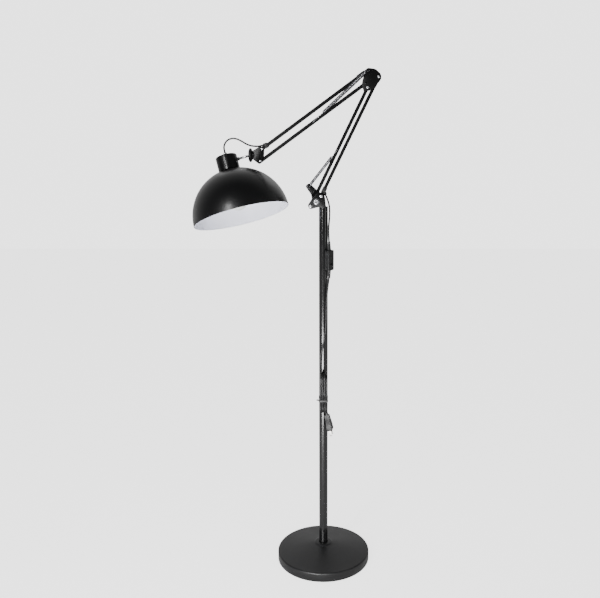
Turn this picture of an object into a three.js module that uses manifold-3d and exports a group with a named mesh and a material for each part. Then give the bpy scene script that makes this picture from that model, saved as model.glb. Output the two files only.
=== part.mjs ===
// Adjustable arm floor lamp: weighted base, pole, twin-bar spring arm, ball-jointed head.
// Millimetres, +Z up. The origin is the centre of the base's underside, and the arm lies in the
// X-Z plane. The scene graph holds one mesh for each separate piece.

import * as THREE from 'three';
import { mergeVertices } from 'three/addons/utils/BufferGeometryUtils.js';
import Module from 'manifold-3d';

const wasm = await Module();
wasm.setup();

// ---------------------------------------------------------------- driving dimensions

const GAP = 0.3;                 // clearance between neighbouring pieces
const ROUND = 20;                // sides of a small round piece
const deg = THREE.MathUtils.degToRad;

// base
const BASE_R = 125;
const PAD_T = 2.2;
const SKIRT_BOTTOM = 0.6;
const RIM_TOP = 25;
const RIM_BEND = 4;
const DOME_RISE = 17.5;
const COVER_T = 1.5;
const WEIGHT_T = 14.7;
const BOSS_R = 22;
const BOSS_RISE = 3;
const BOLT_R = 4.9;

// pole
const POLE_R = 11.5;
const POLE_WALL = 1.5;
const POLE_TOP = 961;
const FOOT_PLUG = 22;
const STUD_R = 6;
const STUD_LENGTH = 42;
const BUSH_FLANGE_T = 3;

// arm bars
const BAR = 8.6;
const BAR_WALL = 0.9;
const BAR_END = BAR / 2 + 0.5;    // pivot to the bar's end
const BAR_NOSE = 3.6;             // cut-back of the bar's rounded ends
const ARM_LENGTH = 320;
const PIN_R = 2.4;
const HEAD_R = 3.3;
const HEAD_T = 1.2;

// rest pose
const LOWER_LEAN = deg(26);      // lower arm, from upright towards +X
const UPPER_DROP = deg(35.7);    // upper arm, below level, towards -X

// knuckle on the pole
const KNUCKLE_RIGHT = new THREE.Vector3(-5.5, 0, 990.3);
const KNUCKLE_LINK = 36.6;
const KNUCKLE_TURN = deg(43);    // line of its two pivots, above level
const KNUCKLE_HALF = 12;         // inside half width at the pivots
const TAB_HALF = 6;              // inside half width at the spring tab
const JOG_START = 11.6;
const JOG_END = 20.6;
const PLATE_T = 1.6;
const TAB_ALONG = 29.6;
const TAB_OUT = 38.4;
const PEG_R = 2.2;
const BOLT_ALONG = 18.2;
const BOLT_OUT = -2.0;

// elbow and head links
const ELBOW_HALF = 6.2;
const ELBOW_BACK = -27.3;        // right lower pivot to top upper pivot
const ELBOW_UP = 15.2;
const UPPER_LINK = 39.1 - BAR;    // shorter with thicker bars, which keeps them clear
const UPPER_LINK_TURN = deg(82);

// springs
const COIL_R = 3.7;
const COIL_BORE = 2.7;
const SPRING_Y = 12;
const WIRE_R = 0.8;
const EYE_R = 4.4;
const LOWER_ANCHOR = 156;
const LOWER_COIL = 95;
const LOWER_LINK_REACH = 33;
const UPPER_ANCHOR = 160;
const UPPER_COIL = 148;
const UPPER_LINK_REACH = 43;

// head joint
const BALL_BACK = -27.7;         // top head pivot to ball centre
const BALL_DOWN = -15.3;
const BALL_R = 7;
const BOSS_OUT_R = 10.6;
const RING_R = 17.4;
const RING_HALF_T = 5;
const BALL_FROM_RING = -1.6;
const RING_MOUTH_R = 8.5;
const RING_SEAT_R = 6.1;
const STEM_R = 2.9;
const STEM_DROP = deg(15.2);
const HEAD_ROLL = deg(-12);

// lamp head
const HEAD_OFFSET = 62;          // ball centre to the shade's axis
const SHADE_R = 121;
const SHADE_T = 1.2;
const RIM_DROP = 142;            // ball level down to the shade's rim
const CAP_R = 27;
const CAP_WALL = 3;
const CAP_TOP = 14.6;
const HOLDER_R = 19;
const HOLDER_BORE = 14.5;
const HOLDER_TOP = 8;
const HOLDER_DEPTH = 53;
const BULB_R = 30;
const BULB_CAP_R = 13.1;
const BULB_CAP_LENGTH = 26;
const BULB_NECK = 52;            // cap to the globe's centre

// mains lead
const CORD_R = 2.2;
const CORD_SIDES = 10;

// in-line switch
const SWITCH_WIDE = 22;
const SWITCH_DEEP = 14;
const SWITCH_TALL = 52;
const SWITCH_AT = new THREE.Vector3(14.8, -13, 829.5);
const SWITCH_TURN = deg(50);
const SWITCH_SHELL = 1.8;
const ROCKER_WIDE = 9.4;
const ROCKER_TALL = 20;

// hank and plug
const HANK_TOP = 540;
const HANK_BOTTOM = 426;
const HANK_DEEP = 31;
const HANK_WIDE = 22;
const TIE_Z = 463;
const TIE_T = 1.2;
const TIE_TALL = 6;
const PLUG_AT = new THREE.Vector3(11.5, -28, 412.4);
const PLUG_TILT = deg(-12.4);
const PLUG_TURN = deg(80);       // its flat side, from facing forwards towards +X
const PLUG_THICK = 13.5;
const PLUG_NECK = 12;
const PLUG_LENGTH = 32;
const PLUG_FACE = 24;
const BLADE_T = 1.5;
const BLADE_WIDE = 6.3;
const BLADE_LENGTH = 16;
const BLADE_SPACING = 12.7;

// ---------------------------------------------------------------- materials

const finish = (color, roughness, metalness) => ({ color, roughness, metalness });
const SATIN_BLACK = finish(0x141416, 0.38, 0.1);
const GLOSS_BLACK = finish(0x0d0d0f, 0.16, 0.1);
const BASE_BLACK = finish(0x17181a, 0.5, 0.1);
const BLACK_PLASTIC = finish(0x1b1b1d, 0.45, 0);
const INNER_WHITE = finish(0xe4e6ef, 0.5, 0);
const STEEL = finish(0xb9bcc0, 0.3, 1);
const CHROME = finish(0xd8dadd, 0.1, 1);
const SPRING_STEEL = finish(0x4b4d50, 0.35, 1);
const CAST_IRON = finish(0x3a3a3c, 0.8, 0.6);
const CORD_BLACK = finish(0x101012, 0.55, 0);
const FROSTED = finish(0xf4f3ee, 0.4, 0);
const PORCELAIN = finish(0xdedfe0, 0.4, 0);
const FELT = finish(0x26262a, 0.95, 0);

// ---------------------------------------------------------------- shape helpers

function solidOf(geometry) {
  const bare = geometry.clone();
  bare.deleteAttribute('normal');
  bare.deleteAttribute('uv');
  const merged = mergeVertices(bare, 1e-4);
  return new wasm.Manifold(new wasm.Mesh({
    numProp: 3,
    vertProperties: new Float32Array(merged.attributes.position.array),
    triVerts: new Uint32Array(merged.index.array),
  }));
}

function geometryOf(solid) {
  const mesh = solid.getMesh();
  const geometry = new THREE.BufferGeometry();
  geometry.setAttribute('position', new THREE.BufferAttribute(mesh.vertProperties, 3));
  geometry.setIndex(new THREE.BufferAttribute(mesh.triVerts, 1));
  geometry.computeVertexNormals();
  return geometry;
}

// joins the first list and cuts the second from it
function shaped(joined, cut = []) {
  let solid = joined.map(solidOf).reduce((whole, next) => whole.add(next));
  for (const tool of cut) {
    solid = solid.subtract(solidOf(tool));
  }
  return geometryOf(solid);
}

function box(x0, x1, y0, y1, z0, z1) {
  const geometry = new THREE.BoxGeometry(x1 - x0, y1 - y0, z1 - z0);
  return geometry.translate((x0 + x1) / 2, (y0 + y1) / 2, (z0 + z1) / 2);
}

// round bar along Y
function pinY(radius, y0, y1, x = 0, z = 0, sides = ROUND) {
  const geometry = new THREE.CylinderGeometry(radius, radius, y1 - y0, sides);
  return geometry.translate(x, (y0 + y1) / 2, z);
}

// round bar along Z
function pinZ(radius, z0, z1, x = 0, y = 0, sides = ROUND) {
  const geometry = new THREE.CylinderGeometry(radius, radius, z1 - z0, sides);
  return geometry.rotateX(Math.PI / 2).translate(x, y, (z0 + z1) / 2);
}

// round bar along X
function pinX(radius, x0, x1, y = 0, z = 0, sides = ROUND) {
  const geometry = new THREE.CylinderGeometry(radius, radius, x1 - x0, sides);
  return geometry.rotateZ(Math.PI / 2).translate((x0 + x1) / 2, y, z);
}

// turned piece about Z: each point is [radius, height]
function turned(points, sides = 48) {
  const profile = points.map(([r, h]) => new THREE.Vector2(r, h));
  if (THREE.ShapeUtils.isClockWise(profile)) {
    profile.reverse();
  }
  return new THREE.LatheGeometry(profile, sides).rotateX(Math.PI / 2);
}

function ringProfile(points) {
  return [...points, points[0]];
}

// outline in the X-Z plane, each corner [x, z, cut-back] rounded by a curve
function rounded(corners) {
  const shape = new THREE.Shape();
  const count = corners.length;
  corners.forEach(([x, z, back], i) => {
    const here = new THREE.Vector2(x, z);
    const before = new THREE.Vector2(...corners[(i + count - 1) % count]);
    const after = new THREE.Vector2(...corners[(i + 1) % count]);
    const into = here.clone().add(before.sub(here).setLength(back));
    const out = here.clone().add(after.sub(here).setLength(back));
    if (i === 0) {
      shape.moveTo(into.x, into.y);
    } else {
      shape.lineTo(into.x, into.y);
    }
    shape.quadraticCurveTo(here.x, here.y, out.x, out.y);
  });
  shape.closePath();
  return shape;
}

// outline in the X-Z plane given a thickness along Y
function plateY(shape, y0, y1, steps = 5) {
  const options = { depth: y1 - y0, bevelEnabled: false, curveSegments: steps };
  return new THREE.ExtrudeGeometry(shape, options).rotateX(Math.PI / 2).translate(0, y1, 0);
}

// outline in the Z-Y plane (first coordinate along Z) given a length along X
function lengthX(shape, x0, x1) {
  const options = { depth: x1 - x0, bevelEnabled: false, curveSegments: 5 };
  return new THREE.ExtrudeGeometry(shape, options).rotateY(-Math.PI / 2).translate(x1, 0, 0);
}

function polygon(points) {
  return new THREE.Shape(points.map(([a, b]) => new THREE.Vector2(a, b)));
}

function cordTube(points, steps) {
  const section = new THREE.Shape();
  section.absarc(0, 0, CORD_R, 0, Math.PI * 2);
  const extrudePath = new THREE.CatmullRomCurve3(points.map((p) => new THREE.Vector3(...p)));
  return new THREE.ExtrudeGeometry(section, { steps, curveSegments: CORD_SIDES / 2, extrudePath });
}

function piece(name, geometry, look) {
  const mesh = new THREE.Mesh(geometry, new THREE.MeshStandardMaterial(look));
  mesh.name = name;
  return mesh;
}

function placed(position, turnY, ...children) {
  const group = new THREE.Group();
  group.position.copy(position);
  group.rotation.y = turnY;
  group.add(...children);
  return group;
}

// ---------------------------------------------------------------- pivots at rest

const inPlane = (x, z) => new THREE.Vector3(x, 0, z);
const lowerAxis = inPlane(Math.sin(LOWER_LEAN), Math.cos(LOWER_LEAN));
const upperAxis = inPlane(-Math.cos(UPPER_DROP), -Math.sin(UPPER_DROP));
const UPPER_TURN = -(Math.PI / 2 + UPPER_DROP);
const knuckleLink = inPlane(Math.cos(KNUCKLE_TURN), Math.sin(KNUCKLE_TURN));
const KNUCKLE_LEFT = KNUCKLE_RIGHT.clone().addScaledVector(knuckleLink, -KNUCKLE_LINK);
const ELBOW_1 = KNUCKLE_RIGHT.clone().addScaledVector(lowerAxis, ARM_LENGTH);
const ELBOW_2 = KNUCKLE_LEFT.clone().addScaledVector(lowerAxis, ARM_LENGTH);
const ELBOW_3 = ELBOW_1.clone().add(inPlane(ELBOW_BACK, ELBOW_UP));
const upperLink = inPlane(-Math.cos(UPPER_LINK_TURN), -Math.sin(UPPER_LINK_TURN));
const ELBOW_4 = ELBOW_3.clone().addScaledVector(upperLink, UPPER_LINK);
const HEAD_1 = ELBOW_3.clone().addScaledVector(upperAxis, ARM_LENGTH);
const HEAD_2 = ELBOW_4.clone().addScaledVector(upperAxis, ARM_LENGTH);
const BALL = HEAD_1.clone().add(inPlane(BALL_BACK, BALL_DOWN));

// ---------------------------------------------------------------- base and pole

const WEIGHT_BOTTOM = PAD_T + GAP;
const WEIGHT_TOP = WEIGHT_BOTTOM + WEIGHT_T;
const DOME_TOP = RIM_TOP + DOME_RISE;
const POLE_BOTTOM = WEIGHT_TOP + GAP;

function basePad() {
  return pinZ(BASE_R - 7, 0, PAD_T, 0, 0, 52);
}

function baseWeight() {
  const r = BASE_R - COVER_T - 3;
  const recess = BOLT_R + 5.4;
  const hole = BOLT_R + GAP;
  const recessTop = WEIGHT_BOTTOM + 6;
  const outline = [
    [recess, WEIGHT_BOTTOM], [r, WEIGHT_BOTTOM], [r, WEIGHT_TOP - 3], [r - 6, WEIGHT_TOP],
    [hole, WEIGHT_TOP], [hole, recessTop], [recess, recessTop],
  ];
  return turned(ringProfile(outline), 52);
}

// pressed steel shell: upright rim, shallow cone and a raised boss round the pole
function baseCover() {
  const hole = POLE_R + GAP;
  const outer = [
    [BASE_R, SKIRT_BOTTOM],
    [BASE_R, RIM_TOP - RIM_BEND],
    [BASE_R - RIM_BEND * 0.3, RIM_TOP - RIM_BEND * 0.3],
    [BASE_R - RIM_BEND, RIM_TOP],
    [BOSS_R + 6, DOME_TOP],
    [BOSS_R + 1, DOME_TOP + BOSS_RISE],
    [hole, DOME_TOP + BOSS_RISE + 1],
  ];
  const inner = [
    [hole, DOME_TOP + BOSS_RISE + 1 - COVER_T],
    [BOSS_R + 0.3, DOME_TOP + BOSS_RISE - COVER_T],
    [BOSS_R + 5.3, DOME_TOP - COVER_T],
    [BASE_R - RIM_BEND - 0.3, RIM_TOP - COVER_T],
    [BASE_R - COVER_T, RIM_TOP - RIM_BEND - COVER_T / 2],
    [BASE_R - COVER_T, SKIRT_BOTTOM],
  ];
  return turned(ringProfile([...outer, ...inner]), 52);
}

function baseBolt() {
  const headTop = WEIGHT_BOTTOM + 6 - GAP;
  const outline = [
    [0, WEIGHT_BOTTOM], [BOLT_R + 5, WEIGHT_BOTTOM], [BOLT_R + 5, headTop], [BOLT_R, headTop],
    [BOLT_R, POLE_BOTTOM + FOOT_PLUG - 4], [0, POLE_BOTTOM + FOOT_PLUG - 4],
  ];
  return turned(outline, ROUND);
}

function pole() {
  const bore = POLE_R - POLE_WALL;
  const hole = BOLT_R + GAP;
  const outline = [
    [hole, POLE_BOTTOM], [POLE_R, POLE_BOTTOM], [POLE_R, POLE_TOP], [bore, POLE_TOP],
    [bore, POLE_BOTTOM + FOOT_PLUG], [hole, POLE_BOTTOM + FOOT_PLUG],
  ];
  return turned(ringProfile(outline), 40);
}

const BUSH_TOP = POLE_TOP + GAP + BUSH_FLANGE_T;

function swivelBush() {
  const bore = STUD_R + GAP;
  const sleeve = POLE_R - POLE_WALL - GAP;
  const bottom = POLE_TOP - STUD_LENGTH - 4;
  const outline = [
    [bore, bottom], [sleeve, bottom], [sleeve, POLE_TOP + GAP], [POLE_R, POLE_TOP + GAP],
    [POLE_R, BUSH_TOP - 1], [POLE_R - 1, BUSH_TOP], [bore, BUSH_TOP],
  ];
  return turned(ringProfile(outline), 40);
}

// ---------------------------------------------------------------- knuckle

const BLOCK_HALF = KNUCKLE_HALF - GAP;
const BLOCK_BOTTOM = BUSH_TOP + GAP;
const CLAMP = KNUCKLE_LEFT.clone()
  .addScaledVector(knuckleLink, BOLT_ALONG)
  .add(inPlane(-Math.sin(KNUCKLE_TURN), Math.cos(KNUCKLE_TURN)).multiplyScalar(BOLT_OUT));
const BOLT_SHANK_R = 3;

// turned stud with a forked head, slotted where the left bar leans over it
function swivelBlock() {
  const floor = rounded([
    [-9, BLOCK_BOTTOM, 1], [6.5, BLOCK_BOTTOM, 1.5], [4.5, BLOCK_BOTTOM + 15, 3],
    [-15, BLOCK_BOTTOM + 15, 3], [-17, BLOCK_BOTTOM + 3, 3],
  ]);
  const fork = rounded([
    [-9, BLOCK_BOTTOM + 1, 2], [0, BLOCK_BOTTOM + 1, 2], [0, BLOCK_BOTTOM + 15, 4],
    [CLAMP.x + 5, CLAMP.z + 6.5, 4], [CLAMP.x - 6.5, CLAMP.z + 4.5, 5],
    [CLAMP.x - 5, CLAMP.z - 7, 4],
  ]);
  const slotHalf = BAR / 2 + 2.2;
  const joined = [
    plateY(floor, -BLOCK_HALF, BLOCK_HALF),
    plateY(fork, slotHalf, BLOCK_HALF),
    plateY(fork, -BLOCK_HALF, -slotHalf),
    pinZ(STUD_R, BLOCK_BOTTOM - STUD_LENGTH, BLOCK_BOTTOM + 2),
  ];
  const holes = [pinY(BOLT_SHANK_R + GAP, -20, 20, CLAMP.x, CLAMP.z)];
  return shaped(joined, holes);
}

function clampBolt(side) {
  const inside = side * (BAR / 2 + 2.4);
  const plateFace = side * (KNUCKLE_HALF + PLATE_T + GAP);
  const washerFace = side * (KNUCKLE_HALF + PLATE_T + GAP + 1.2);
  const top = side * (KNUCKLE_HALF + PLATE_T + GAP + 4.2);
  const along = (radius, a, b, sides) => pinY(radius, Math.min(a, b), Math.max(a, b), 0, 0, sides);
  const joined = [
    along(BOLT_SHANK_R, inside, washerFace, ROUND),
    along(8.4, plateFace, washerFace, 32),
    along(5.9, washerFace - side * 0.2, top, 32),
  ];
  return shaped(joined, [along(2.6, top - side * 2, top + side, 6)]);
}

// outline in the knuckle's own frame: x along its two pivots, z square to them
const KNUCKLE_OUTLINE = [
  [-6.6, -2.4, 2.4], [-3.6, 6.6, 3], [15.2, 11.2, 3], [20.6, 20.6, 3], [22.6, 34, 4],
  [24, 45.6, 5.6], [36, 45.2, 5.6], [37.6, 34, 3], [39.2, 13, 4], [41.6, 4.6, 2.5],
  [44, -3.4, 3.4], [39.2, -12.4, 3], [26.8, -28.6, 2], [18.4, -23.6, 2.5], [14.6, -16, 5],
  [-3.4, -6.6, 2.4],
];

function knucklePlate(side) {
  const outline = rounded(KNUCKLE_OUTLINE);
  const wide = KNUCKLE_HALF;
  const sheet = polygon([
    [-60, wide], [JOG_START, wide], [JOG_END, TAB_HALF], [80, TAB_HALF],
    [80, TAB_HALF + PLATE_T], [JOG_END + 0.8, TAB_HALF + PLATE_T],
    [JOG_START + 0.8, wide + PLATE_T], [-60, wide + PLATE_T],
  ].map(([out, y]) => [out, side * y]));
  const prism = solidOf(plateY(outline, -30, 30));
  const folded = prism.intersect(solidOf(lengthX(sheet, -30, 70)));
  const pegEnd = side * (SPRING_Y + 4.4);
  const headEnd = side * (SPRING_Y + 5.6);
  const pegFoot = side * (TAB_HALF + PLATE_T / 2);
  const peg = pinY(PEG_R, Math.min(pegFoot, pegEnd), Math.max(pegFoot, pegEnd), TAB_ALONG, TAB_OUT);
  const pegHead = pinY(
    HEAD_R, Math.min(pegEnd, headEnd), Math.max(pegEnd, headEnd), TAB_ALONG, TAB_OUT);
  const holes = [
    pinY(PIN_R + GAP, -30, 30, 0, 0),
    pinY(PIN_R + GAP, -30, 30, KNUCKLE_LINK, 0),
    pinY(BOLT_SHANK_R + GAP, -30, 30, BOLT_ALONG, BOLT_OUT),
  ];
  const drilled = holes.reduce((rest, hole) => rest.subtract(solidOf(hole)), folded);
  return geometryOf(drilled.add(solidOf(peg)).add(solidOf(pegHead)));
}

// rivet across two plates whose outer faces stand at half
function crossPin(half, headRadius = HEAD_R) {
  const face = half + GAP;
  return shaped([
    pinY(PIN_R, -face - 0.2, face + 0.2),
    pinY(headRadius, face, face + HEAD_T),
    pinY(headRadius, -face - HEAD_T, -face),
  ]);
}

// the elbow's spring pin: a rivet with waisted ends that hold the spring eyes
function springPin(half) {
  const end = SPRING_Y + 4.4;
  const collars = [half + GAP, -half - GAP - HEAD_T];
  return shaped([
    pinY(PEG_R, -end, end),
    pinY(PIN_R, -half - GAP - 0.2, half + GAP + 0.2),
    ...collars.map((y) => pinY(HEAD_R, y, y + HEAD_T)),
    pinY(HEAD_R, end - 0.1, end + HEAD_T),
    pinY(HEAD_R, -end - HEAD_T, -end + 0.1),
  ]);
}

// ---------------------------------------------------------------- bars

const HALF_BAR = BAR / 2;
const BAR_HOLLOW = HALF_BAR - BAR_WALL;

// square tube along Z with pivot holes at 0 and ARM_LENGTH
function bar({ bush = false, anchor = 0, cordSides = [] }) {
  const top = ARM_LENGTH + BAR_END;
  const outline = rounded([
    [-HALF_BAR, -BAR_END, BAR_NOSE], [HALF_BAR, -BAR_END, BAR_NOSE],
    [HALF_BAR, top, BAR_NOSE], [-HALF_BAR, top, BAR_NOSE],
  ]);
  const joined = [plateY(outline, -HALF_BAR, HALF_BAR)];
  const far = ARM_LENGTH + BAR_END + 1;
  const cut = [
    box(-BAR_HOLLOW, BAR_HOLLOW, -BAR_HOLLOW, BAR_HOLLOW, -BAR_END - 1, far),
    pinY(PIN_R + GAP, -30, 30, 0, ARM_LENGTH),
  ];
  const walls = shaped(joined, cut);
  const parts = [walls];
  const holes = [pinY(PIN_R + GAP, -30, 30, 0, 0)];
  if (bush) {
    parts.push(pinY(HALF_BAR, -BLOCK_HALF, BLOCK_HALF, 0, 0));
  }
  if (anchor) {
    holes.push(pinY(WIRE_R + GAP, -30, 30, 0, anchor, 12));
  }
  for (const [side, z0, z1] of cordSides) {
    const edge = side * HALF_BAR;
    holes.push(box(edge - 1.5, edge + 1.5, -BAR_HOLLOW, BAR_HOLLOW, z0, z1));
  }
  return shaped(parts, holes);
}

const FERRULE_HALF = 5.7;
const NOZZLE_R = 4.3;

// moulded sleeve on a bar between z0 and z1, with a spout for the lead at its lower end.
// the spout leaves on the side given, pointing down the bar and outwards by lean
function ferrule(z0, z1, side, spoutZ, spoutLength, lean) {
  const hollow = HALF_BAR + GAP;
  const sleeve = box(-FERRULE_HALF, FERRULE_HALF, -FERRULE_HALF, FERRULE_HALF, z0, z1);
  const spout = (radius, from, to, sides) => pinZ(radius, from, to, 0, 0, sides)
    .rotateY(-side * lean)
    .translate(side * (HALF_BAR - 1.4), 0, spoutZ);
  const joined = [sleeve, spout(NOZZLE_R, -spoutLength, 3, 20)];
  const cut = [
    box(-hollow, hollow, -hollow, hollow, z0 - 20, z1 + 20),
    spout(CORD_R + GAP, -spoutLength - 5, 6, 16),
  ];
  return shaped(joined, cut);
}

// plain moulded cap sleeve, open for the pivot pin
function plainFerrule(z0, z1) {
  const hollow = HALF_BAR + GAP;
  return shaped(
    [box(-FERRULE_HALF, FERRULE_HALF, -FERRULE_HALF, FERRULE_HALF, z0, z1)],
    [box(-hollow, hollow, -hollow, hollow, z0 - 1, z1 + 1)],
  );
}

// lead held inside a bar
function innerCord(z0, z1) {
  return pinZ(CORD_R, z0, z1, 0, 0, CORD_SIDES);
}

// ---------------------------------------------------------------- springs

// close-wound coil drawn as its outer tube, hung by an eye at the origin, running up Z
function coil(length) {
  const start = EYE_R + 2.4;
  return shaped(
    [
      pinY(EYE_R, -WIRE_R, WIRE_R, 0, 0, 20),
      pinZ(1.4, EYE_R - 1, start + 0.6, 0, 0, 10),
      pinZ(COIL_R, start, length, 0, 0, 16),
    ],
    [
      pinY(PEG_R + GAP, -4, 4, 0, 0, 20),
      pinZ(COIL_BORE, start + 1.6, length + 1, 0, 0, 16),
    ],
  );
}

// bent wire through a bar, its two arms reaching down Z into the coils
function springLink(reach) {
  const corner = (y) => new THREE.SphereGeometry(WIRE_R, 12, 8).translate(0, y, 0);
  const arm = (y) => pinZ(WIRE_R, -reach, 0, 0, y, 12);
  return shaped([
    pinY(WIRE_R, -SPRING_Y, SPRING_Y, 0, 0, 12),
    corner(SPRING_Y), corner(-SPRING_Y), arm(SPRING_Y), arm(-SPRING_Y),
  ]);
}

function springPair(name, length) {
  const pair = [piece(`${name}_front`, coil(length), SPRING_STEEL),
    piece(`${name}_back`, coil(length), SPRING_STEEL)];
  pair[0].position.y = -SPRING_Y;
  pair[1].position.y = SPRING_Y;
  return pair;
}

const TAB = KNUCKLE_LEFT.clone()
  .addScaledVector(knuckleLink, TAB_ALONG)
  .add(inPlane(-Math.sin(KNUCKLE_TURN), Math.cos(KNUCKLE_TURN)).multiplyScalar(TAB_OUT));
const LOWER_HOOK = KNUCKLE_LEFT.clone().addScaledVector(lowerAxis, LOWER_ANCHOR);
const UPPER_HOOK = ELBOW_4.clone().addScaledVector(upperAxis, UPPER_ANCHOR);
const turnTowards = (from, to) => Math.atan2(to.x - from.x, to.z - from.z);
const LOWER_SPRING_TURN = turnTowards(TAB, LOWER_HOOK);
const UPPER_SPRING_TURN = turnTowards(ELBOW_3, UPPER_HOOK);

// ---------------------------------------------------------------- elbow

// outline about the right lower pivot
function elbowPlate(side) {
  const outline = rounded([
    [-27.6, 21, 4], [-8, 18.4, 4], [5.6, 6.4, 5], [7, -4.6, 5], [-1.6, -15.4, 3],
    [-7.6, -26.4, 4], [-34.6, -35.2, 4.5], [-41, -18, 4], [-38, -2, 6],
  ]);
  const face = side * ELBOW_HALF;
  const back = side * (ELBOW_HALF + PLATE_T);
  const pivots = [ELBOW_1, ELBOW_2, ELBOW_3, ELBOW_4];
  const holes = pivots.map((p) => pinY(PIN_R + GAP, -30, 30, p.x - ELBOW_1.x, p.z - ELBOW_1.z));
  return shaped([plateY(outline, Math.min(face, back), Math.max(face, back))], holes);
}

// ---------------------------------------------------------------- head bracket and ball joint

// pressed U bracket about the top head pivot, with the threaded cup of the ball joint
function headBracket() {
  const half = ELBOW_HALF + PLATE_T;
  const outline = rounded([
    [-23.4, -4.2, 1.5], [-4, 6.4, 3], [5.4, 1.6, 4], [3.4, -22, 4], [-6.6, -38.6, 5],
    [-23.4, -26, 1.5],
  ]);
  const cup = pinX(BOSS_OUT_R, BALL_BACK - 0.1, -20.4, 0, BALL_DOWN, 40);
  const ball = new THREE.SphereGeometry(BALL_R + GAP, 24, 14).translate(BALL_BACK, 0, BALL_DOWN);
  const lower = HEAD_2.clone().sub(HEAD_1);
  return shaped(
    [plateY(outline, -half, half), cup],
    [
      box(-19, 20, -ELBOW_HALF, ELBOW_HALF, -60, 20),
      ball,
      pinY(PIN_R + GAP, -30, 30, 0, 0),
      pinY(PIN_R + GAP, -30, 30, lower.x, lower.z),
    ],
  );
}

// hand ring that pulls the ball into its cup, turned about -X
function clampRing() {
  const seat = BALL_R + GAP;
  const arc = [];
  for (let i = 0; i <= 5; i += 1) {
    const r = seat - 0.02 - (seat - 0.02 - RING_SEAT_R) * (i / 5);
    arc.push([r, BALL_FROM_RING + Math.sqrt(seat * seat - r * r)]);
  }
  const bore = BOSS_OUT_R + GAP;
  const shoulder = arc[0][1];
  const outer = [
    [RING_MOUTH_R, RING_HALF_T], [12, RING_HALF_T - 0.5], [15.6, RING_HALF_T - 2.2],
    [RING_R, 1], [RING_R, -1], [15.6, 2.2 - RING_HALF_T], [12, 0.5 - RING_HALF_T],
    [bore, -RING_HALF_T], [bore, shoulder],
  ];
  return turned(ringProfile([...outer, ...arc]), 36).rotateY(-Math.PI / 2);
}

// bright stem from the ball to the socket cap, with its collar and inner nut
function headStem() {
  const capFace = -(HEAD_OFFSET - CAP_R);
  const inside = capFace - CAP_WALL - 0.9;
  return shaped(
    [
      pinX(STEM_R, inside - 1.5, -BALL_R + 1),
      pinX(5, capFace + GAP, capFace + 4.6, 0, 0, 6),
      pinX(5, inside - 1.5, inside, 0, 0, 6),
    ],
    [new THREE.SphereGeometry(BALL_R + GAP, 24, 14)],
  );
}

// ---------------------------------------------------------------- lamp head, about the shade's axis

const sphereTop = (radius, r) => Math.sqrt(radius * radius - r * r) - RIM_DROP;
const CAP_BOTTOM = sphereTop(SHADE_R, CAP_R - CAP_WALL) + GAP;
const SHADE_HOLE = HOLDER_R + GAP;
const HOLDER_BOTTOM = HOLDER_TOP - HOLDER_DEPTH;
const BULB_TOP = HOLDER_TOP - 25;
const GLAND_R = 4.4;

function socketCap() {
  const inner = CAP_R - CAP_WALL;
  const hole = GLAND_R + GAP;
  const outline = [
    [CAP_R, CAP_BOTTOM], [CAP_R, CAP_TOP - 5], [CAP_R - 1.4, CAP_TOP - 1.6],
    [CAP_R - 4.6, CAP_TOP], [hole, CAP_TOP], [hole, CAP_TOP - CAP_WALL],
    [inner - 1.5, CAP_TOP - CAP_WALL], [inner, CAP_TOP - CAP_WALL - 1.5], [inner, CAP_BOTTOM],
  ];
  return shaped([turned(ringProfile(outline), 40)], [pinX(STEM_R + GAP, 10, 40)]);
}

function cordGland() {
  const bore = CORD_R + GAP;
  const outline = [
    [bore, CAP_TOP - 3.4], [GLAND_R, CAP_TOP - 3.4], [GLAND_R, CAP_TOP + GAP],
    [6.6, CAP_TOP + GAP], [6.6, CAP_TOP + 2.6], [5, CAP_TOP + 3.4], [4.2, CAP_TOP + 9],
    [bore, CAP_TOP + 9],
  ];
  return turned(ringProfile(outline), ROUND);
}

function lampholder() {
  const outline = [
    [0, HOLDER_TOP], [HOLDER_R - 2, HOLDER_TOP], [HOLDER_R, HOLDER_TOP - 2],
    [HOLDER_R, HOLDER_BOTTOM], [HOLDER_BORE, HOLDER_BOTTOM], [HOLDER_BORE, BULB_TOP + GAP],
    [0, BULB_TOP + GAP],
  ];
  return turned(outline, 40);
}

const SHADE_RING_R = 27;
const SHADE_RING_TOP = sphereTop(SHADE_R - SHADE_T, SHADE_RING_R) - 0.8;

function shadeRing() {
  const bore = HOLDER_R + GAP;
  const outline = [
    [bore, SHADE_RING_TOP], [SHADE_RING_R, SHADE_RING_TOP],
    [SHADE_RING_R, SHADE_RING_TOP - 3], [22, SHADE_RING_TOP - 8], [bore, SHADE_RING_TOP - 8],
  ];
  return turned(ringProfile(outline), 40);
}

const SLOT_COUNT = 4;
const SLOT_IN = 33;
const SLOT_OUT = 36.5;
const SLOT_SPAN = deg(34);

function ventSlot(index) {
  const start = (index + 0.5) * (Math.PI * 2 / SLOT_COUNT) - SLOT_SPAN / 2;
  const outline = new THREE.Shape();
  outline.absarc(0, 0, SLOT_OUT, start, start + SLOT_SPAN, false);
  outline.absarc(0, 0, SLOT_IN, start + SLOT_SPAN, start, true);
  outline.closePath();
  const options = { depth: 40, bevelEnabled: false, curveSegments: 5 };
  return new THREE.ExtrudeGeometry(outline, options).translate(0, 0, -45);
}

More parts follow.
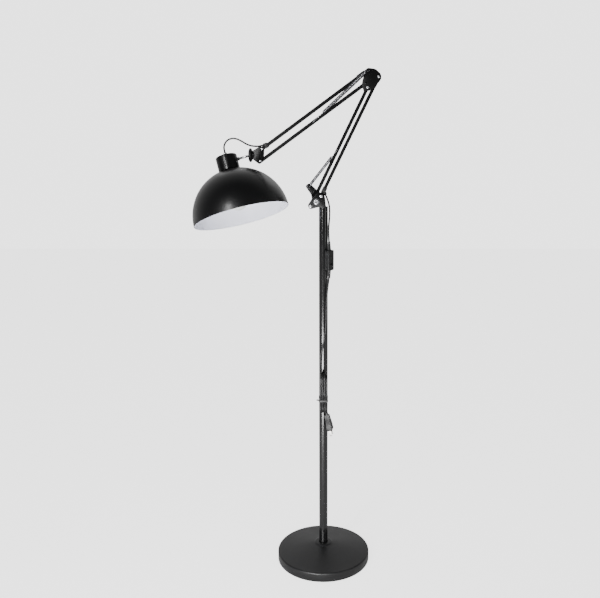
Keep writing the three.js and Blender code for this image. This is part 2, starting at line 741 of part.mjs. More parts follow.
function shade() {
  const rings = 10;
  const outer = [];
  const inner = [];
  const innerR = SHADE_R - SHADE_T;
  for (let i = 0; i <= rings; i += 1) {
    const outerTurn = Math.acos(SHADE_HOLE / SHADE_R) * (i / rings);
    const innerTurn = Math.acos(SHADE_HOLE / innerR) * (i / rings);
    outer.push([SHADE_R * Math.cos(outerTurn), SHADE_R * Math.sin(outerTurn) - RIM_DROP]);
    inner.unshift([innerR * Math.cos(innerTurn), innerR * Math.sin(innerTurn) - RIM_DROP]);
  }
  const slots = Array.from({ length: SLOT_COUNT }, (_, index) => ventSlot(index));
  return shaped([turned(ringProfile([...outer, ...inner]), 52)], slots);
}

const BULB_JOIN = BULB_TOP - BULB_CAP_LENGTH;

function bulbCap() {
  const outline = [
    [0, BULB_TOP], [5, BULB_TOP], [6.5, BULB_TOP - 3], [11, BULB_TOP - 5],
    [BULB_CAP_R, BULB_TOP - 6.5], [BULB_CAP_R, BULB_JOIN], [0, BULB_JOIN],
  ];
  return turned(outline, 32);
}

function bulbGlobe() {
  const centre = BULB_JOIN - BULB_NECK;
  const outline = [[0, BULB_JOIN - GAP], [12.4, BULB_JOIN - GAP], [13.4, BULB_JOIN - 8]];
  const first = deg(38);
  const last = deg(-90);
  const rings = 10;
  for (let i = 0; i <= rings; i += 1) {
    const turn = first + (last - first) * (i / rings);
    const r = i === rings ? 0 : BULB_R * Math.cos(turn);
    outline.push([r, centre + BULB_R * Math.sin(turn)]);
  }
  return turned(outline, 32);
}

// ---------------------------------------------------------------- in-line switch

// the switch stands upright, its rocker on the -Y side of its own frame
function switchBlank(y0, y1) {
  const w = SWITCH_WIDE / 2;
  const t = SWITCH_TALL / 2;
  const outline = rounded([[-w, -t, 5], [w, -t, 5], [w, t, 5], [-w, t, 5]]);
  return plateY(outline, y0, y1);
}

const switchHollow = (y0, y1) => box(
  SWITCH_SHELL - SWITCH_WIDE / 2, SWITCH_WIDE / 2 - SWITCH_SHELL, y0, y1,
  5 - SWITCH_TALL / 2, SWITCH_TALL / 2 - 5);
const switchLead = () => pinZ(CORD_R + GAP, -SWITCH_TALL, SWITCH_TALL, 0, 0, 16);

function switchCaseFront() {
  const front = -SWITCH_DEEP / 2;
  const half = ROCKER_WIDE / 2 + GAP;
  const tall = ROCKER_TALL / 2 + 1;
  return shaped(
    [switchBlank(front, -GAP / 2)],
    [
      switchHollow(front + SWITCH_SHELL, 1),
      box(-half, half, front - 1, 1, -tall, tall),
      switchLead(),
    ],
  );
}

function switchCaseBack() {
  const back = SWITCH_DEEP / 2;
  return shaped(
    [switchBlank(GAP / 2, back)],
    [switchHollow(-1, back - SWITCH_SHELL), switchLead()],
  );
}

// rocker about its own pivot, resting with its lower half pressed in
function switchRocker() {
  const half = ROCKER_TALL / 2;
  const outline = polygon([
    [-half, -2.4], [0, -3.4], [half, -5.2], [half, -1.4], [3, 2.4], [-3, 2.4], [-half, 0.6],
  ]);
  return lengthX(outline, -ROCKER_WIDE / 2, ROCKER_WIDE / 2);
}

// ---------------------------------------------------------------- hank and plug

const HANK_BACK = -(POLE_R + 1.2);

function hank() {
  const r = HANK_DEEP / 2;
  const middle = HANK_BACK - r;
  const outline = new THREE.Shape();
  outline.absarc(HANK_TOP - r, middle, r, -Math.PI / 2, Math.PI / 2, false);
  outline.absarc(HANK_BOTTOM + r, middle, r, Math.PI / 2, Math.PI * 1.5, false);
  outline.closePath();
  return lengthX(outline, -HANK_WIDE / 2, HANK_WIDE / 2);
}

// band round the pole and the hank
function hankTie() {
  const front = HANK_BACK - HANK_DEEP - GAP;
  const loop = (grow) => {
    const half = Math.max(POLE_R, HANK_WIDE / 2) + GAP + grow;
    const outline = new THREE.Shape();
    outline.absarc(0, 0, half, 0, Math.PI, false);
    outline.lineTo(-half, front - grow);
    outline.lineTo(half, front - grow);
    outline.closePath();
    return outline;
  };
  const band = (grow, low, high) => {
    const options = { depth: high - low, bevelEnabled: false, curveSegments: 10 };
    return new THREE.ExtrudeGeometry(loop(grow), options).translate(0, 0, low);
  };
  return shaped(
    [band(TIE_T, TIE_Z - TIE_TALL / 2, TIE_Z + TIE_TALL / 2)],
    [band(0, TIE_Z - TIE_TALL, TIE_Z + TIE_TALL)],
  );
}

// the plug hangs blades down; its own frame has the neck's foot at the origin
function plugBody() {
  const half = PLUG_FACE / 2;
  const outline = rounded([
    [-4, PLUG_NECK, 1], [4, PLUG_NECK, 1], [6, 0, 3], [half, -14, 6],
    [half, -PLUG_LENGTH, 2], [-half, -PLUG_LENGTH, 2], [-half, -14, 6], [-6, 0, 3],
  ]);
  const thick = PLUG_THICK / 2;
  return plateY(outline, -thick, thick);
}

function plugBlade() {
  const t = BLADE_T / 2;
  const w = BLADE_WIDE / 2;
  const top = -PLUG_LENGTH - GAP;
  return box(-t, t, -w, w, top - BLADE_LENGTH, top);
}

// ---------------------------------------------------------------- mains lead

const SWITCH_TOP = SWITCH_AT.z + SWITCH_TALL / 2 + GAP;
const SWITCH_FOOT = SWITCH_AT.z - SWITCH_TALL / 2 - GAP;

// from the lower bar's spout, past the knuckle and down the pole to the switch
const CORD_UPPER_ROUTE = [
  [6.5, 0, 991.2], [8.4, 0, 986.6], [11, 0, 979.5], [13.6, 0, 971.5], [15.2, -0.3, 963],
  [15.8, -1.2, 952], [15.4, -3.4, 938], [14.2, -6.4, 922], [13.2, -9, 906],
  [13.6, -11, 890], [14.4, -12.5, 874], [14.8, -13, 862], [14.8, -13, SWITCH_TOP],
];

// from the switch to the top of the hank
const CORD_LOWER_ROUTE = [
  [14.8, -13, SWITCH_FOOT], [14.8, -13, 796], [13.6, -13.4, 780], [11.2, -14.2, 760],
  [9, -15, 738], [7.8, -15.2, 712], [7.2, -15.4, 684], [7, -15.8, 656], [6.8, -16.6, 628],
  [6.4, -18.2, 602], [5.8, -21, 578], [5, -25, 558], [4.6, -27.8, HANK_TOP + 1.2],
];

// from the gland on the socket cap, over in a loop and into the top bar's spout
const CORD_HEAD_ROUTE = [
  [-246.1, 4.95, 1097.75], [-247.4, 5.7, 1102.6], [-248.2, 6.2, 1107.4], [-248.1, 6.2, 1112.4],
  [-246, 5.8, 1118.8], [-240.4, 5, 1126.2], [-232, 4, 1130.8], [-222.4, 3, 1131.8],
  [-212.4, 2.1, 1129.4], [-202, 1.3, 1124.2], [-191.8, 0.6, 1118.4], [-181.4, 0.2, 1114.4],
  [-170.8, 0, 1112.8], [-160, 0, 1113], [-150.1, 0, 1115.3],
];

// ---------------------------------------------------------------- assembly

const stand = new THREE.Group();
stand.add(
  piece('base_pad', basePad(), FELT),
  piece('base_weight', baseWeight(), CAST_IRON),
  piece('base_cover', baseCover(), BASE_BLACK),
  piece('base_bolt', baseBolt(), STEEL),
  piece('pole', pole(), GLOSS_BLACK),
  piece('swivel_bush', swivelBush(), BLACK_PLASTIC),
  piece('cord_pole_upper', cordTube(CORD_UPPER_ROUTE, 18), CORD_BLACK),
  piece('cord_pole_lower', cordTube(CORD_LOWER_ROUTE, 24), CORD_BLACK),
  piece('cord_hank', hank(), CORD_BLACK),
  piece('hank_tie', hankTie(), BLACK_PLASTIC),
);

const switchBox = new THREE.Group();
const rocker = piece('switch_rocker', switchRocker(), BLACK_PLASTIC);
rocker.position.y = 4.6 - SWITCH_DEEP / 2;
switchBox.position.copy(SWITCH_AT);
switchBox.rotation.z = SWITCH_TURN;
switchBox.add(
  piece('switch_case_front', switchCaseFront(), BLACK_PLASTIC),
  piece('switch_case_back', switchCaseBack(), BLACK_PLASTIC),
  rocker,
);

const plugBlades = ['left', 'right'].map(
  (side) => piece(`plug_blade_${side}`, plugBlade(), CHROME));
plugBlades[0].position.x = -BLADE_SPACING / 2;
plugBlades[1].position.x = BLADE_SPACING / 2;
const plugTurned = new THREE.Group();
plugTurned.rotation.z = PLUG_TURN;
plugTurned.add(piece('plug_body', plugBody(), BLACK_PLASTIC), ...plugBlades);
const plug = placed(PLUG_AT, PLUG_TILT, plugTurned);

const clampBolts = [
  piece('clamp_bolt_front', clampBolt(-1), STEEL),
  piece('clamp_bolt_back', clampBolt(1), STEEL),
];
const knuckle = new THREE.Group();
knuckle.add(
  piece('swivel_block', swivelBlock(), SATIN_BLACK),
  placed(CLAMP, 0, ...clampBolts),
  placed(
    KNUCKLE_LEFT, -KNUCKLE_TURN,
    piece('knuckle_plate_front', knucklePlate(-1), SATIN_BLACK),
    piece('knuckle_plate_back', knucklePlate(1), SATIN_BLACK),
  ),
  placed(KNUCKLE_RIGHT, 0,
    piece('knuckle_pin_right', crossPin(KNUCKLE_HALF + PLATE_T, 4), STEEL)),
  placed(KNUCKLE_LEFT, 0,
    piece('knuckle_pin_left', crossPin(KNUCKLE_HALF + PLATE_T, 4), STEEL)),
);

const LOWER_SPOUT = 12.5;
const UPPER_SPOUT = 15;
const CORD_END = 20;
const lowerArm = new THREE.Group();
lowerArm.add(
  placed(
    KNUCKLE_RIGHT, LOWER_LEAN,
    piece('lower_bar_right', bar({ bush: true, cordSides: [[1, 9, 19]] }), SATIN_BLACK),
    piece('lower_ferrule', ferrule(8, 24, 1, LOWER_SPOUT, 8, deg(49)), BLACK_PLASTIC),
    piece('cord_lower_bar', innerCord(CORD_END, ARM_LENGTH - 8), CORD_BLACK),
  ),
  placed(
    KNUCKLE_LEFT, LOWER_LEAN,
    piece('lower_bar_left', bar({ bush: true, anchor: LOWER_ANCHOR }), SATIN_BLACK),
  ),
  placed(TAB, LOWER_SPRING_TURN, ...springPair('lower_spring', LOWER_COIL)),
  placed(LOWER_HOOK, LOWER_SPRING_TURN,
    piece('lower_spring_link', springLink(LOWER_LINK_REACH), STEEL)),
);

const elbow = new THREE.Group();
const elbowRivet = () => crossPin(ELBOW_HALF + PLATE_T);
elbow.add(
  placed(
    ELBOW_1, 0,
    piece('elbow_plate_front', elbowPlate(-1), SATIN_BLACK),
    piece('elbow_plate_back', elbowPlate(1), SATIN_BLACK),
    piece('elbow_pin_1', elbowRivet(), STEEL),
  ),
  placed(ELBOW_2, 0, piece('elbow_pin_2', elbowRivet(), STEEL)),
  placed(ELBOW_3, 0, piece('elbow_pin_3', springPin(ELBOW_HALF + PLATE_T), SATIN_BLACK)),
  placed(ELBOW_4, 0, piece('elbow_pin_4', elbowRivet(), SATIN_BLACK)),
);

const headEnd = (z) => ARM_LENGTH - z;
const upperArm = new THREE.Group();
upperArm.add(
  placed(
    ELBOW_3, UPPER_TURN,
    piece('upper_bar_top',
      bar({ cordSides: [[1, headEnd(21), headEnd(3.5)]] }), SATIN_BLACK),
    piece('upper_ferrule_elbow', plainFerrule(8, 30), BLACK_PLASTIC),
    piece('upper_ferrule_head', ferrule(9, 18, -1, UPPER_SPOUT, 8, deg(20))
      .rotateY(Math.PI).translate(0, 0, ARM_LENGTH), BLACK_PLASTIC),
    piece('cord_upper_bar', innerCord(8, headEnd(CORD_END)), CORD_BLACK),
  ),
  placed(
    ELBOW_4, UPPER_TURN,
    piece('upper_bar_bottom', bar({ anchor: UPPER_ANCHOR }), SATIN_BLACK),
  ),
  placed(ELBOW_3, UPPER_SPRING_TURN, ...springPair('upper_spring', UPPER_COIL)),
  placed(UPPER_HOOK, UPPER_SPRING_TURN,
    piece('upper_spring_link', springLink(UPPER_LINK_REACH), STEEL)),
);

const bracket = new THREE.Group();
bracket.add(
  placed(HEAD_1, 0,
    piece('head_bracket', headBracket(), SATIN_BLACK),
    piece('head_pin_top', elbowRivet(), STEEL)),
  placed(HEAD_2, 0, piece('head_pin_bottom', elbowRivet(), STEEL)),
  placed(BALL.clone().add(inPlane(BALL_FROM_RING, 0)), 0,
    piece('clamp_ring', clampRing(), BLACK_PLASTIC)),
);

const shadeParts = new THREE.Group();
shadeParts.position.x = -HEAD_OFFSET;
shadeParts.add(
  piece('socket_cap', socketCap(), GLOSS_BLACK),
  piece('cord_gland', cordGland(), CHROME),
  piece('lampholder', lampholder(), PORCELAIN),
  piece('shade_ring', shadeRing(), INNER_WHITE),
  piece('shade', shade(), SATIN_BLACK),
  piece('bulb_cap', bulbCap(), STEEL),
  piece('bulb_globe', bulbGlobe(), FROSTED),
);

const rolled = new THREE.Group();
rolled.rotation.x = HEAD_ROLL;
rolled.add(
  piece('head_ball', new THREE.SphereGeometry(BALL_R, 24, 14), CHROME),
  piece('head_stem', headStem(), CHROME),
  shadeParts,
);
const head = placed(BALL, -STEM_DROP, rolled);

const lamp = new THREE.Group();
lamp.add(stand, switchBox, plug, knuckle, lowerArm, elbow, upperArm, bracket, head);
lamp.add(piece('cord_head', cordTube(CORD_HEAD_ROUTE, 20), CORD_BLACK));

export default lamp;
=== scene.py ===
import math

import bmesh
import bpy
from mathutils import Matrix, Vector


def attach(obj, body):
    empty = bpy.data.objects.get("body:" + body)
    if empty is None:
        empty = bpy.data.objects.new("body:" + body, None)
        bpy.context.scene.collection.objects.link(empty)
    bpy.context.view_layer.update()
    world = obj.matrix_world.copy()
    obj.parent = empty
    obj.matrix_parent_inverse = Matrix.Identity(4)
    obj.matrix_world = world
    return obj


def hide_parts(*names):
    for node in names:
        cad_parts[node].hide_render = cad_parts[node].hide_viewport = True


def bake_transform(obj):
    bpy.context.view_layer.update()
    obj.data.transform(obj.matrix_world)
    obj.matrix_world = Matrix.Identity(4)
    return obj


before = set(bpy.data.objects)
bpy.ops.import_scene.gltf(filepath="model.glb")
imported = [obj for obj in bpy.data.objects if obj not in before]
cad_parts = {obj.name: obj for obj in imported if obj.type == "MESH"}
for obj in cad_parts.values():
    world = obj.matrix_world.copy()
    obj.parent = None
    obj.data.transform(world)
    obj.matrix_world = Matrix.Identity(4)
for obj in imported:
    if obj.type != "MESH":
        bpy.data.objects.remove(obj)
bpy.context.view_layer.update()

MM = 0.001                       # metres in a millimetre
TAU = math.tau
rad = math.radians

# ------------------------------------------------------------------ sizes, in millimetres

BASE_R = 125
PAD_R = 118
PAD_TALL = 2.2
SKIRT_BOTTOM = 0.6
RIM_TOP = 25
RIM_ROUND = 4
DOME_TOP = 42.5
BOSS_R = 22
BOSS_TOP = 46.5
POLE_R = 11.5
POLE_WALL = 1.5
POLE_FOOT = 17.5
POLE_TOP = 961
BUSH_FOOT = 915
BUSH_BORE = 6.3
BAR = 8.6
BAR_END = BAR / 2 + 0.5
BAR_NOSE = 2.4
FERRULE = 11.4
ARM_LENGTH = 320
LOWER_LEAN = rad(26)
UPPER_DROP = rad(35.7)
LINK_TURN = rad(43)
LINK = 36.6
KNUCKLE_HALF = 12
TAB_HALF = 6
TAB_ALONG = 29.6                 # the spring peg's place on the knuckle's tab
TAB_OUT = 38.4
PLATE_T = 1.6
ELBOW_HALF = 6.2
SPRING_Y = 12
COIL_WIRE = 0.8
COIL_MIDDLE = 2.85
BALL_R = 7
STEM_DROP = rad(15.2)
HEAD_ROLL = rad(-12)
HEAD_OFFSET = 62
SHADE_R = 121
SHADE_T = 1.2
NECK_R = 19.3
RIM_DROP = 142
CAP_R = 27
CAP_WALL = 3
CAP_TOP = 14.6
GLOBE_R = 30
CORD_R = 2.2


def in_plane(x, z):
    """A point or direction in the arm's own upright plane."""
    return Vector((x, 0, z))


LOWER_AXIS = in_plane(math.sin(LOWER_LEAN), math.cos(LOWER_LEAN))
UPPER_AXIS = in_plane(-math.cos(UPPER_DROP), -math.sin(UPPER_DROP))
UPPER_TURN = -(math.pi / 2 + UPPER_DROP)
LINK_ALONG = in_plane(math.cos(LINK_TURN), math.sin(LINK_TURN))
LINK_OUT = in_plane(-math.sin(LINK_TURN), math.cos(LINK_TURN))
KNUCKLE_RIGHT = in_plane(-5.5, 990.3)
KNUCKLE_LEFT = KNUCKLE_RIGHT - LINK_ALONG * LINK
ELBOW_1 = KNUCKLE_RIGHT + LOWER_AXIS * ARM_LENGTH
ELBOW_2 = KNUCKLE_LEFT + LOWER_AXIS * ARM_LENGTH
ELBOW_3 = ELBOW_1 + in_plane(-27.3, 15.2)
ELBOW_4 = ELBOW_3 + in_plane(-math.cos(rad(82)), -math.sin(rad(82))) * 30.5
HEAD_1 = ELBOW_3 + UPPER_AXIS * ARM_LENGTH
HEAD_2 = ELBOW_4 + UPPER_AXIS * ARM_LENGTH
BALL = HEAD_1 + in_plane(-27.7, -15.3)
CLAMP = KNUCKLE_LEFT + LINK_ALONG * 18.2 - LINK_OUT * 2
TAB = KNUCKLE_LEFT + LINK_ALONG * TAB_ALONG + LINK_OUT * TAB_OUT
LOWER_HOOK = KNUCKLE_LEFT + LOWER_AXIS * 156
UPPER_HOOK = ELBOW_4 + UPPER_AXIS * 160


def turned_to(position, turn_y=0.0):
    """Where a piece drawn about its own origin goes: moved to position and turned about Y."""
    return Matrix.Translation(position) @ Matrix.Rotation(turn_y, 4, "Y")


def facing(start, end):
    """The turn about Y that points a piece's Z from start to end."""
    return math.atan2(end.x - start.x, end.z - start.z)


HEAD_PLACE = turned_to(BALL, -STEM_DROP) @ Matrix.Rotation(HEAD_ROLL, 4, "X")
SHADE_PLACE = HEAD_PLACE @ Matrix.Translation((-HEAD_OFFSET, 0, 0))

# ------------------------------------------------------------------ camera and light, in metres

CAMERA_AT = (0, -1.7325, 1.0427)
CAMERA_DIP = 10.345              # degrees below level
PAPER = 2.8                      # brightness of the backdrop and floor as seen
GLOW_FRONT = 0.07                # what the finishes mirror from the camera's side
GLOW_BEHIND = 0.75               # and from behind the lamp


def set_camera():
    view = bpy.data.cameras.new("view")
    view.lens = 40.8
    view.sensor_width = 36
    view.shift_x = -0.039
    holder = bpy.data.objects.new("view", view)
    holder.location = CAMERA_AT
    holder.rotation_euler = (rad(90 - CAMERA_DIP), 0, 0)
    bpy.context.scene.collection.objects.link(holder)
    bpy.context.scene.camera = holder


def soft_light(name, place, aim, wide, tall, power):
    """A flat light at place, facing aim."""
    lamp = bpy.data.lights.new(name, "AREA")
    lamp.shape = "RECTANGLE"
    lamp.size = wide
    lamp.size_y = tall
    lamp.energy = power
    holder = bpy.data.objects.new(name, lamp)
    holder.location = place
    away = Vector(aim) - Vector(place)
    holder.rotation_euler = away.to_track_quat("-Z", "Y").to_euler()
    bpy.context.scene.collection.objects.link(holder)


def set_light():
    """Four soft boxes and a pale backdrop that the finishes mirror only dimly."""
    soft_light("left_box", (-1.0, -1.85, 1.42), (-0.15, 0, 1.0), 0.28, 1.2, 26)
    soft_light("right_box", (1.9, -1.5, 1.1), (0, 0, 0.8), 0.4, 2.0, 8)
    soft_light("top_box", (0, 1.6, 2.4), (0, 0, 0.3), 2.4, 0.8, 3)
    soft_light("low_box", (-0.4, -1.2, 0.15), (-0.24, 0, 1.05), 0.8, 0.4, 34)
    world = bpy.data.worlds.new("studio")
    bpy.context.scene.world = world
    world.use_nodes = True
    nodes, links = world.node_tree.nodes, world.node_tree.links
    backdrop = nodes["Background"]
    backdrop.inputs["Color"].default_value = (1, 1, 1, 1)
    way = nodes.new("ShaderNodeTexCoord")
    parts = nodes.new("ShaderNodeSeparateXYZ")
    behind = nodes.new("ShaderNodeMapRange")
    behind.inputs["From Min"].default_value = -0.1
    behind.inputs["From Max"].default_value = 0.9
    behind.inputs["To Min"].default_value = GLOW_FRONT
    behind.inputs["To Max"].default_value = GLOW_BEHIND
    path = nodes.new("ShaderNodeLightPath")
    strength = nodes.new("ShaderNodeMix")
    strength.inputs["B"].default_value = PAPER
    links.new(way.outputs["Generated"], parts.inputs["Vector"])
    links.new(parts.outputs["Y"], behind.inputs["Value"])
    links.new(path.outputs["Is Camera Ray"], strength.inputs["Factor"])
    links.new(behind.outputs["Result"], strength.inputs["A"])
    links.new(strength.outputs["Result"], backdrop.inputs["Strength"])


# ------------------------------------------------------------------ finishes


def new_group(name, values, results):
    """A node group with named inputs and outputs, and its nodes."""
    group = bpy.data.node_groups.new(name, "ShaderNodeTree")
    for label, default in values:
        kind = "NodeSocketVector" if label in ("Vector", "Normal") else "NodeSocketFloat"
        socket = group.interface.new_socket(label, in_out="INPUT", socket_type=kind)
        if default is not None:
            socket.default_value = default
    for label in results:
        kind = "NodeSocketVector" if label == "Normal" else "NodeSocketFloat"
        group.interface.new_socket(label, in_out="OUTPUT", socket_type=kind)
    start = group.nodes.new("NodeGroupInput")
    end = group.nodes.new("NodeGroupOutput")
    return group, start, end


def make_paint_grain():
    """Fine orange-peel of sprayed paint: a bump and a slow change in sheen."""
    values = [("Vector", None), ("Grain", 900.0), ("Depth", 0.1), ("Unevenness", 0.5)]
    group, start, end = new_group("paint_grain", values, ["Normal", "Sheen"])
    nodes, links = group.nodes, group.links
    fine = nodes.new("ShaderNodeTexNoise")
    fine.inputs["Detail"].default_value = 4
    slow = nodes.new("ShaderNodeTexNoise")
    slow.inputs["Scale"].default_value = 14
    slow.inputs["Detail"].default_value = 3
    bump = nodes.new("ShaderNodeBump")
    bump.inputs["Distance"].default_value = 0.0003
    spread = nodes.new("ShaderNodeMath")
    spread.operation = "MULTIPLY"
    links.new(start.outputs["Vector"], fine.inputs["Vector"])
    links.new(start.outputs["Vector"], slow.inputs["Vector"])
    links.new(start.outputs["Grain"], fine.inputs["Scale"])
    links.new(start.outputs["Depth"], bump.inputs["Strength"])
    links.new(fine.outputs["Fac"], bump.inputs["Height"])
    links.new(slow.outputs["Fac"], spread.inputs[0])
    links.new(start.outputs["Unevenness"], spread.inputs[1])
    links.new(bump.outputs["Normal"], end.inputs["Normal"])
    links.new(spread.outputs["Value"], end.inputs["Sheen"])
    return group


def make_resting_dust():
    """A faint mask of dust on faces that look up."""
    values = [("Vector", None), ("Amount", 0.3)]
    group, start, end = new_group("resting_dust", values, ["Mask"])
    nodes, links = group.nodes, group.links
    facing_up = nodes.new("ShaderNodeNewGeometry")
    parts = nodes.new("ShaderNodeSeparateXYZ")
    up = nodes.new("ShaderNodeMapRange")
    up.inputs["From Min"].default_value = 0.55
    up.inputs["From Max"].default_value = 1.0
    specks = nodes.new("ShaderNodeTexNoise")
    specks.inputs["Scale"].default_value = 260
    specks.inputs["Detail"].default_value = 6
    patch = nodes.new("ShaderNodeMapRange")
    patch.inputs["From Min"].default_value = 0.45
    patch.inputs["From Max"].default_value = 0.8
    both = nodes.new("ShaderNodeMath")
    both.operation = "MULTIPLY"
    amount = nodes.new("ShaderNodeMath")
    amount.operation = "MULTIPLY"
    links.new(facing_up.outputs["Normal"], parts.inputs["Vector"])
    links.new(parts.outputs["Z"], up.inputs["Value"])
    links.new(start.outputs["Vector"], specks.inputs["Vector"])
    links.new(specks.outputs["Fac"], patch.inputs["Value"])
    links.new(up.outputs["Result"], both.inputs[0])
    links.new(patch.outputs["Result"], both.inputs[1])
    links.new(both.outputs["Value"], amount.inputs[0])
    links.new(start.outputs["Amount"], amount.inputs[1])
    links.new(amount.outputs["Value"], end.inputs["Mask"])
    return group


def make_drawn_lines():
    """Fine lines left by drawing or turning, along one direction."""
    values = [("Vector", None), ("Lines", 1.0), ("Depth", 0.2)]
    group, start, end = new_group("drawn_lines", values, ["Normal", "Sheen"])
    nodes, links = group.nodes, group.links
    stretch = nodes.new("ShaderNodeMapping")
    stretch.inputs["Scale"].default_value = (900, 60, 900)
    noise = nodes.new("ShaderNodeTexNoise")
    noise.inputs["Detail"].default_value = 3
    bump = nodes.new("ShaderNodeBump")
    bump.inputs["Distance"].default_value = 0.0001
    links.new(start.outputs["Vector"], stretch.inputs["Vector"])
    links.new(stretch.outputs["Vector"], noise.inputs["Vector"])
    links.new(start.outputs["Lines"], noise.inputs["Scale"])
    links.new(start.outputs["Depth"], bump.inputs["Strength"])
    links.new(noise.outputs["Fac"], bump.inputs["Height"])
    links.new(bump.outputs["Normal"], end.inputs["Normal"])
    links.new(noise.outputs["Fac"], end.inputs["Sheen"])
    return group


PAINT_GRAIN = make_paint_grain()
RESTING_DUST = make_resting_dust()
DRAWN_LINES = make_drawn_lines()


def blank_material(name):
    """A new material with its main shader and the piece's own coordinates."""
    material = bpy.data.materials.new(name)
    material.use_nodes = True
    shader = material.node_tree.nodes["Principled BSDF"]
    spot = material.node_tree.nodes.new("ShaderNodeTexCoord")
    return material, shader, spot.outputs["Object"]


def placed_group(material, group, vector, **values):
    """Puts a shared effect into a material, with its values set."""
    node = material.node_tree.nodes.new("ShaderNodeGroup")
    node.node_tree = group
    material.node_tree.links.new(vector, node.inputs["Vector"])
    for label, value in values.items():
        node.inputs[label].default_value = value
    return node


def ranged(material, source, low, high):
    """Turns a 0 to 1 value into one between low and high."""
    node = material.node_tree.nodes.new("ShaderNodeMapRange")
    node.inputs["To Min"].default_value = low
    node.inputs["To Max"].default_value = high
    material.node_tree.links.new(source, node.inputs["Value"])
    return node.outputs["Result"]


def between(material, mask, first, second):
    """A colour that goes from first to second as the mask goes from 0 to 1."""
    node = material.node_tree.nodes.new("ShaderNodeMix")
    node.data_type = "RGBA"
    node.inputs["A"].default_value = (*first, 1)
    node.inputs["B"].default_value = (*second, 1)
    material.node_tree.links.new(mask, node.inputs["Factor"])
    return node.outputs["Result"]


def painted(name, colour, dusty, rough, grain, depth, coat=0.0, dust=0.25, metal=0.0, shine=0.5):
    """Sprayed or moulded surface: fine grain, uneven sheen and a little dust on top."""
    material, shader, spot = blank_material(name)
    links = material.node_tree.links
    skin = placed_group(material, PAINT_GRAIN, spot, Grain=grain, Depth=depth, Unevenness=1.0)
    top = placed_group(material, RESTING_DUST, spot, Amount=dust)
    links.new(between(material, top.outputs["Mask"], colour, dusty), shader.inputs["Base Color"])
    links.new(ranged(material, skin.outputs["Sheen"], *rough), shader.inputs["Roughness"])
    links.new(skin.outputs["Normal"], shader.inputs["Normal"])
    shader.inputs["Metallic"].default_value = metal
    shader.inputs["Specular IOR Level"].default_value = shine
    shader.inputs["Coat Weight"].default_value = coat
    shader.inputs["Coat Roughness"].default_value = 0.12
    return material


def bare_metal(name, light, dark, rough, lines, depth):
    """Plated or drawn metal with fine lines and a slow change of tone."""
    material, shader, spot = blank_material(name)
    links = material.node_tree.links
    skin = placed_group(material, DRAWN_LINES, spot, Lines=lines, Depth=depth)
    tone = placed_group(material, PAINT_GRAIN, spot, Grain=120.0, Depth=0.0, Unevenness=1.0)
    links.new(between(material, tone.outputs["Sheen"], dark, light), shader.inputs["Base Color"])
    links.new(ranged(material, skin.outputs["Sheen"], *rough), shader.inputs["Roughness"])
    links.new(skin.outputs["Normal"], shader.inputs["Normal"])
    shader.inputs["Metallic"].default_value = 1.0
    return material


BLACK = (0.0035, 0.0035, 0.0038)
SOFT_BLACK = (0.006, 0.006, 0.0065)
DUSTY = (0.03, 0.03, 0.032)
SATIN_BLACK = painted(
    "satin_black_paint", BLACK, DUSTY, (0.26, 0.42), 1500.0, 0.08, 0.0, 0.15, shine=0.28)
BASE_BLACK = painted("base_powder_coat", SOFT_BLACK, DUSTY, (0.34, 0.52), 1100.0, 0.3)
SHADE_BLACK = painted("shade_satin_paint", BLACK, DUSTY, (0.24, 0.38), 1400.0, 0.06, 0.1, 0.15)
POLE_BLACK = painted("pole_gloss_paint", BLACK, DUSTY, (0.14, 0.24), 800.0, 0.05, 0.4, 0.1)
CAP_BLACK = painted("cap_gloss_paint", BLACK, DUSTY, (0.24, 0.34), 800.0, 0.04, 0.12, 0.15)
PLASTIC = painted("moulded_black", SOFT_BLACK, DUSTY, (0.36, 0.55), 2600.0, 0.25)
SHEATH = painted("lead_sheath", SOFT_BLACK, DUSTY, (0.38, 0.55), 700.0, 0.15)
INNER_WHITE = painted(
    "shade_inner_enamel", (0.86, 0.87, 0.95), (0.7, 0.7, 0.7), (0.3, 0.45), 1200.0, 0.06, 0.1, 0.1)
PORCELAIN = painted("holder_ceramic", (0.75, 0.75, 0.73), (0.6, 0.6, 0.6), (0.2, 0.35), 500, 0.05)
FELT = painted("base_felt", (0.02, 0.02, 0.022), DUSTY, (0.9, 1.0), 3000.0, 0.8)
IRON = painted(
    "raw_casting", (0.05, 0.048, 0.046), (0.09, 0.07, 0.05), (0.6, 0.85), 500.0, 0.7, metal=0.6)
ZINC = bare_metal("zinc_plate", (0.74, 0.75, 0.77), (0.55, 0.56, 0.58), (0.22, 0.42), 1.0, 0.1)
CHROME = bare_metal("bright_plate", (0.86, 0.87, 0.88), (0.74, 0.75, 0.77), (0.06, 0.16), 1.0, 0.03)
SPRING = bare_metal("spring_wire", (0.34, 0.34, 0.36), (0.2, 0.2, 0.21), (0.22, 0.38), 1.0, 0.1)
NICKEL = bare_metal("blade_nickel", (0.4, 0.39, 0.37), (0.28, 0.27, 0.26), (0.3, 0.45), 1.0, 0.05)


def make_frosted():
    """Etched glass: milky, with a soft even skin."""
    material, shader, spot = blank_material("frosted_bulb")
    links = material.node_tree.links
    skin = placed_group(material, PAINT_GRAIN, spot, Grain=1800.0, Depth=0.05, Unevenness=1.0)
    glow = between(material, skin.outputs["Sheen"], (0.9, 0.9, 0.88), (0.97, 0.97, 0.96))
    links.new(glow, shader.inputs["Base Color"])
    links.new(ranged(material, skin.outputs["Sheen"], 0.3, 0.42), shader.inputs["Roughness"])
    links.new(skin.outputs["Normal"], shader.inputs["Normal"])
    shader.inputs["Coat Weight"].default_value = 0.3
    shader.inputs["Subsurface Weight"].default_value = 0.3
    shader.inputs["Subsurface Radius"].default_value = (0.01, 0.01, 0.01)
    return material


FROSTED = make_frosted()

# ------------------------------------------------------------------ making and placing pieces


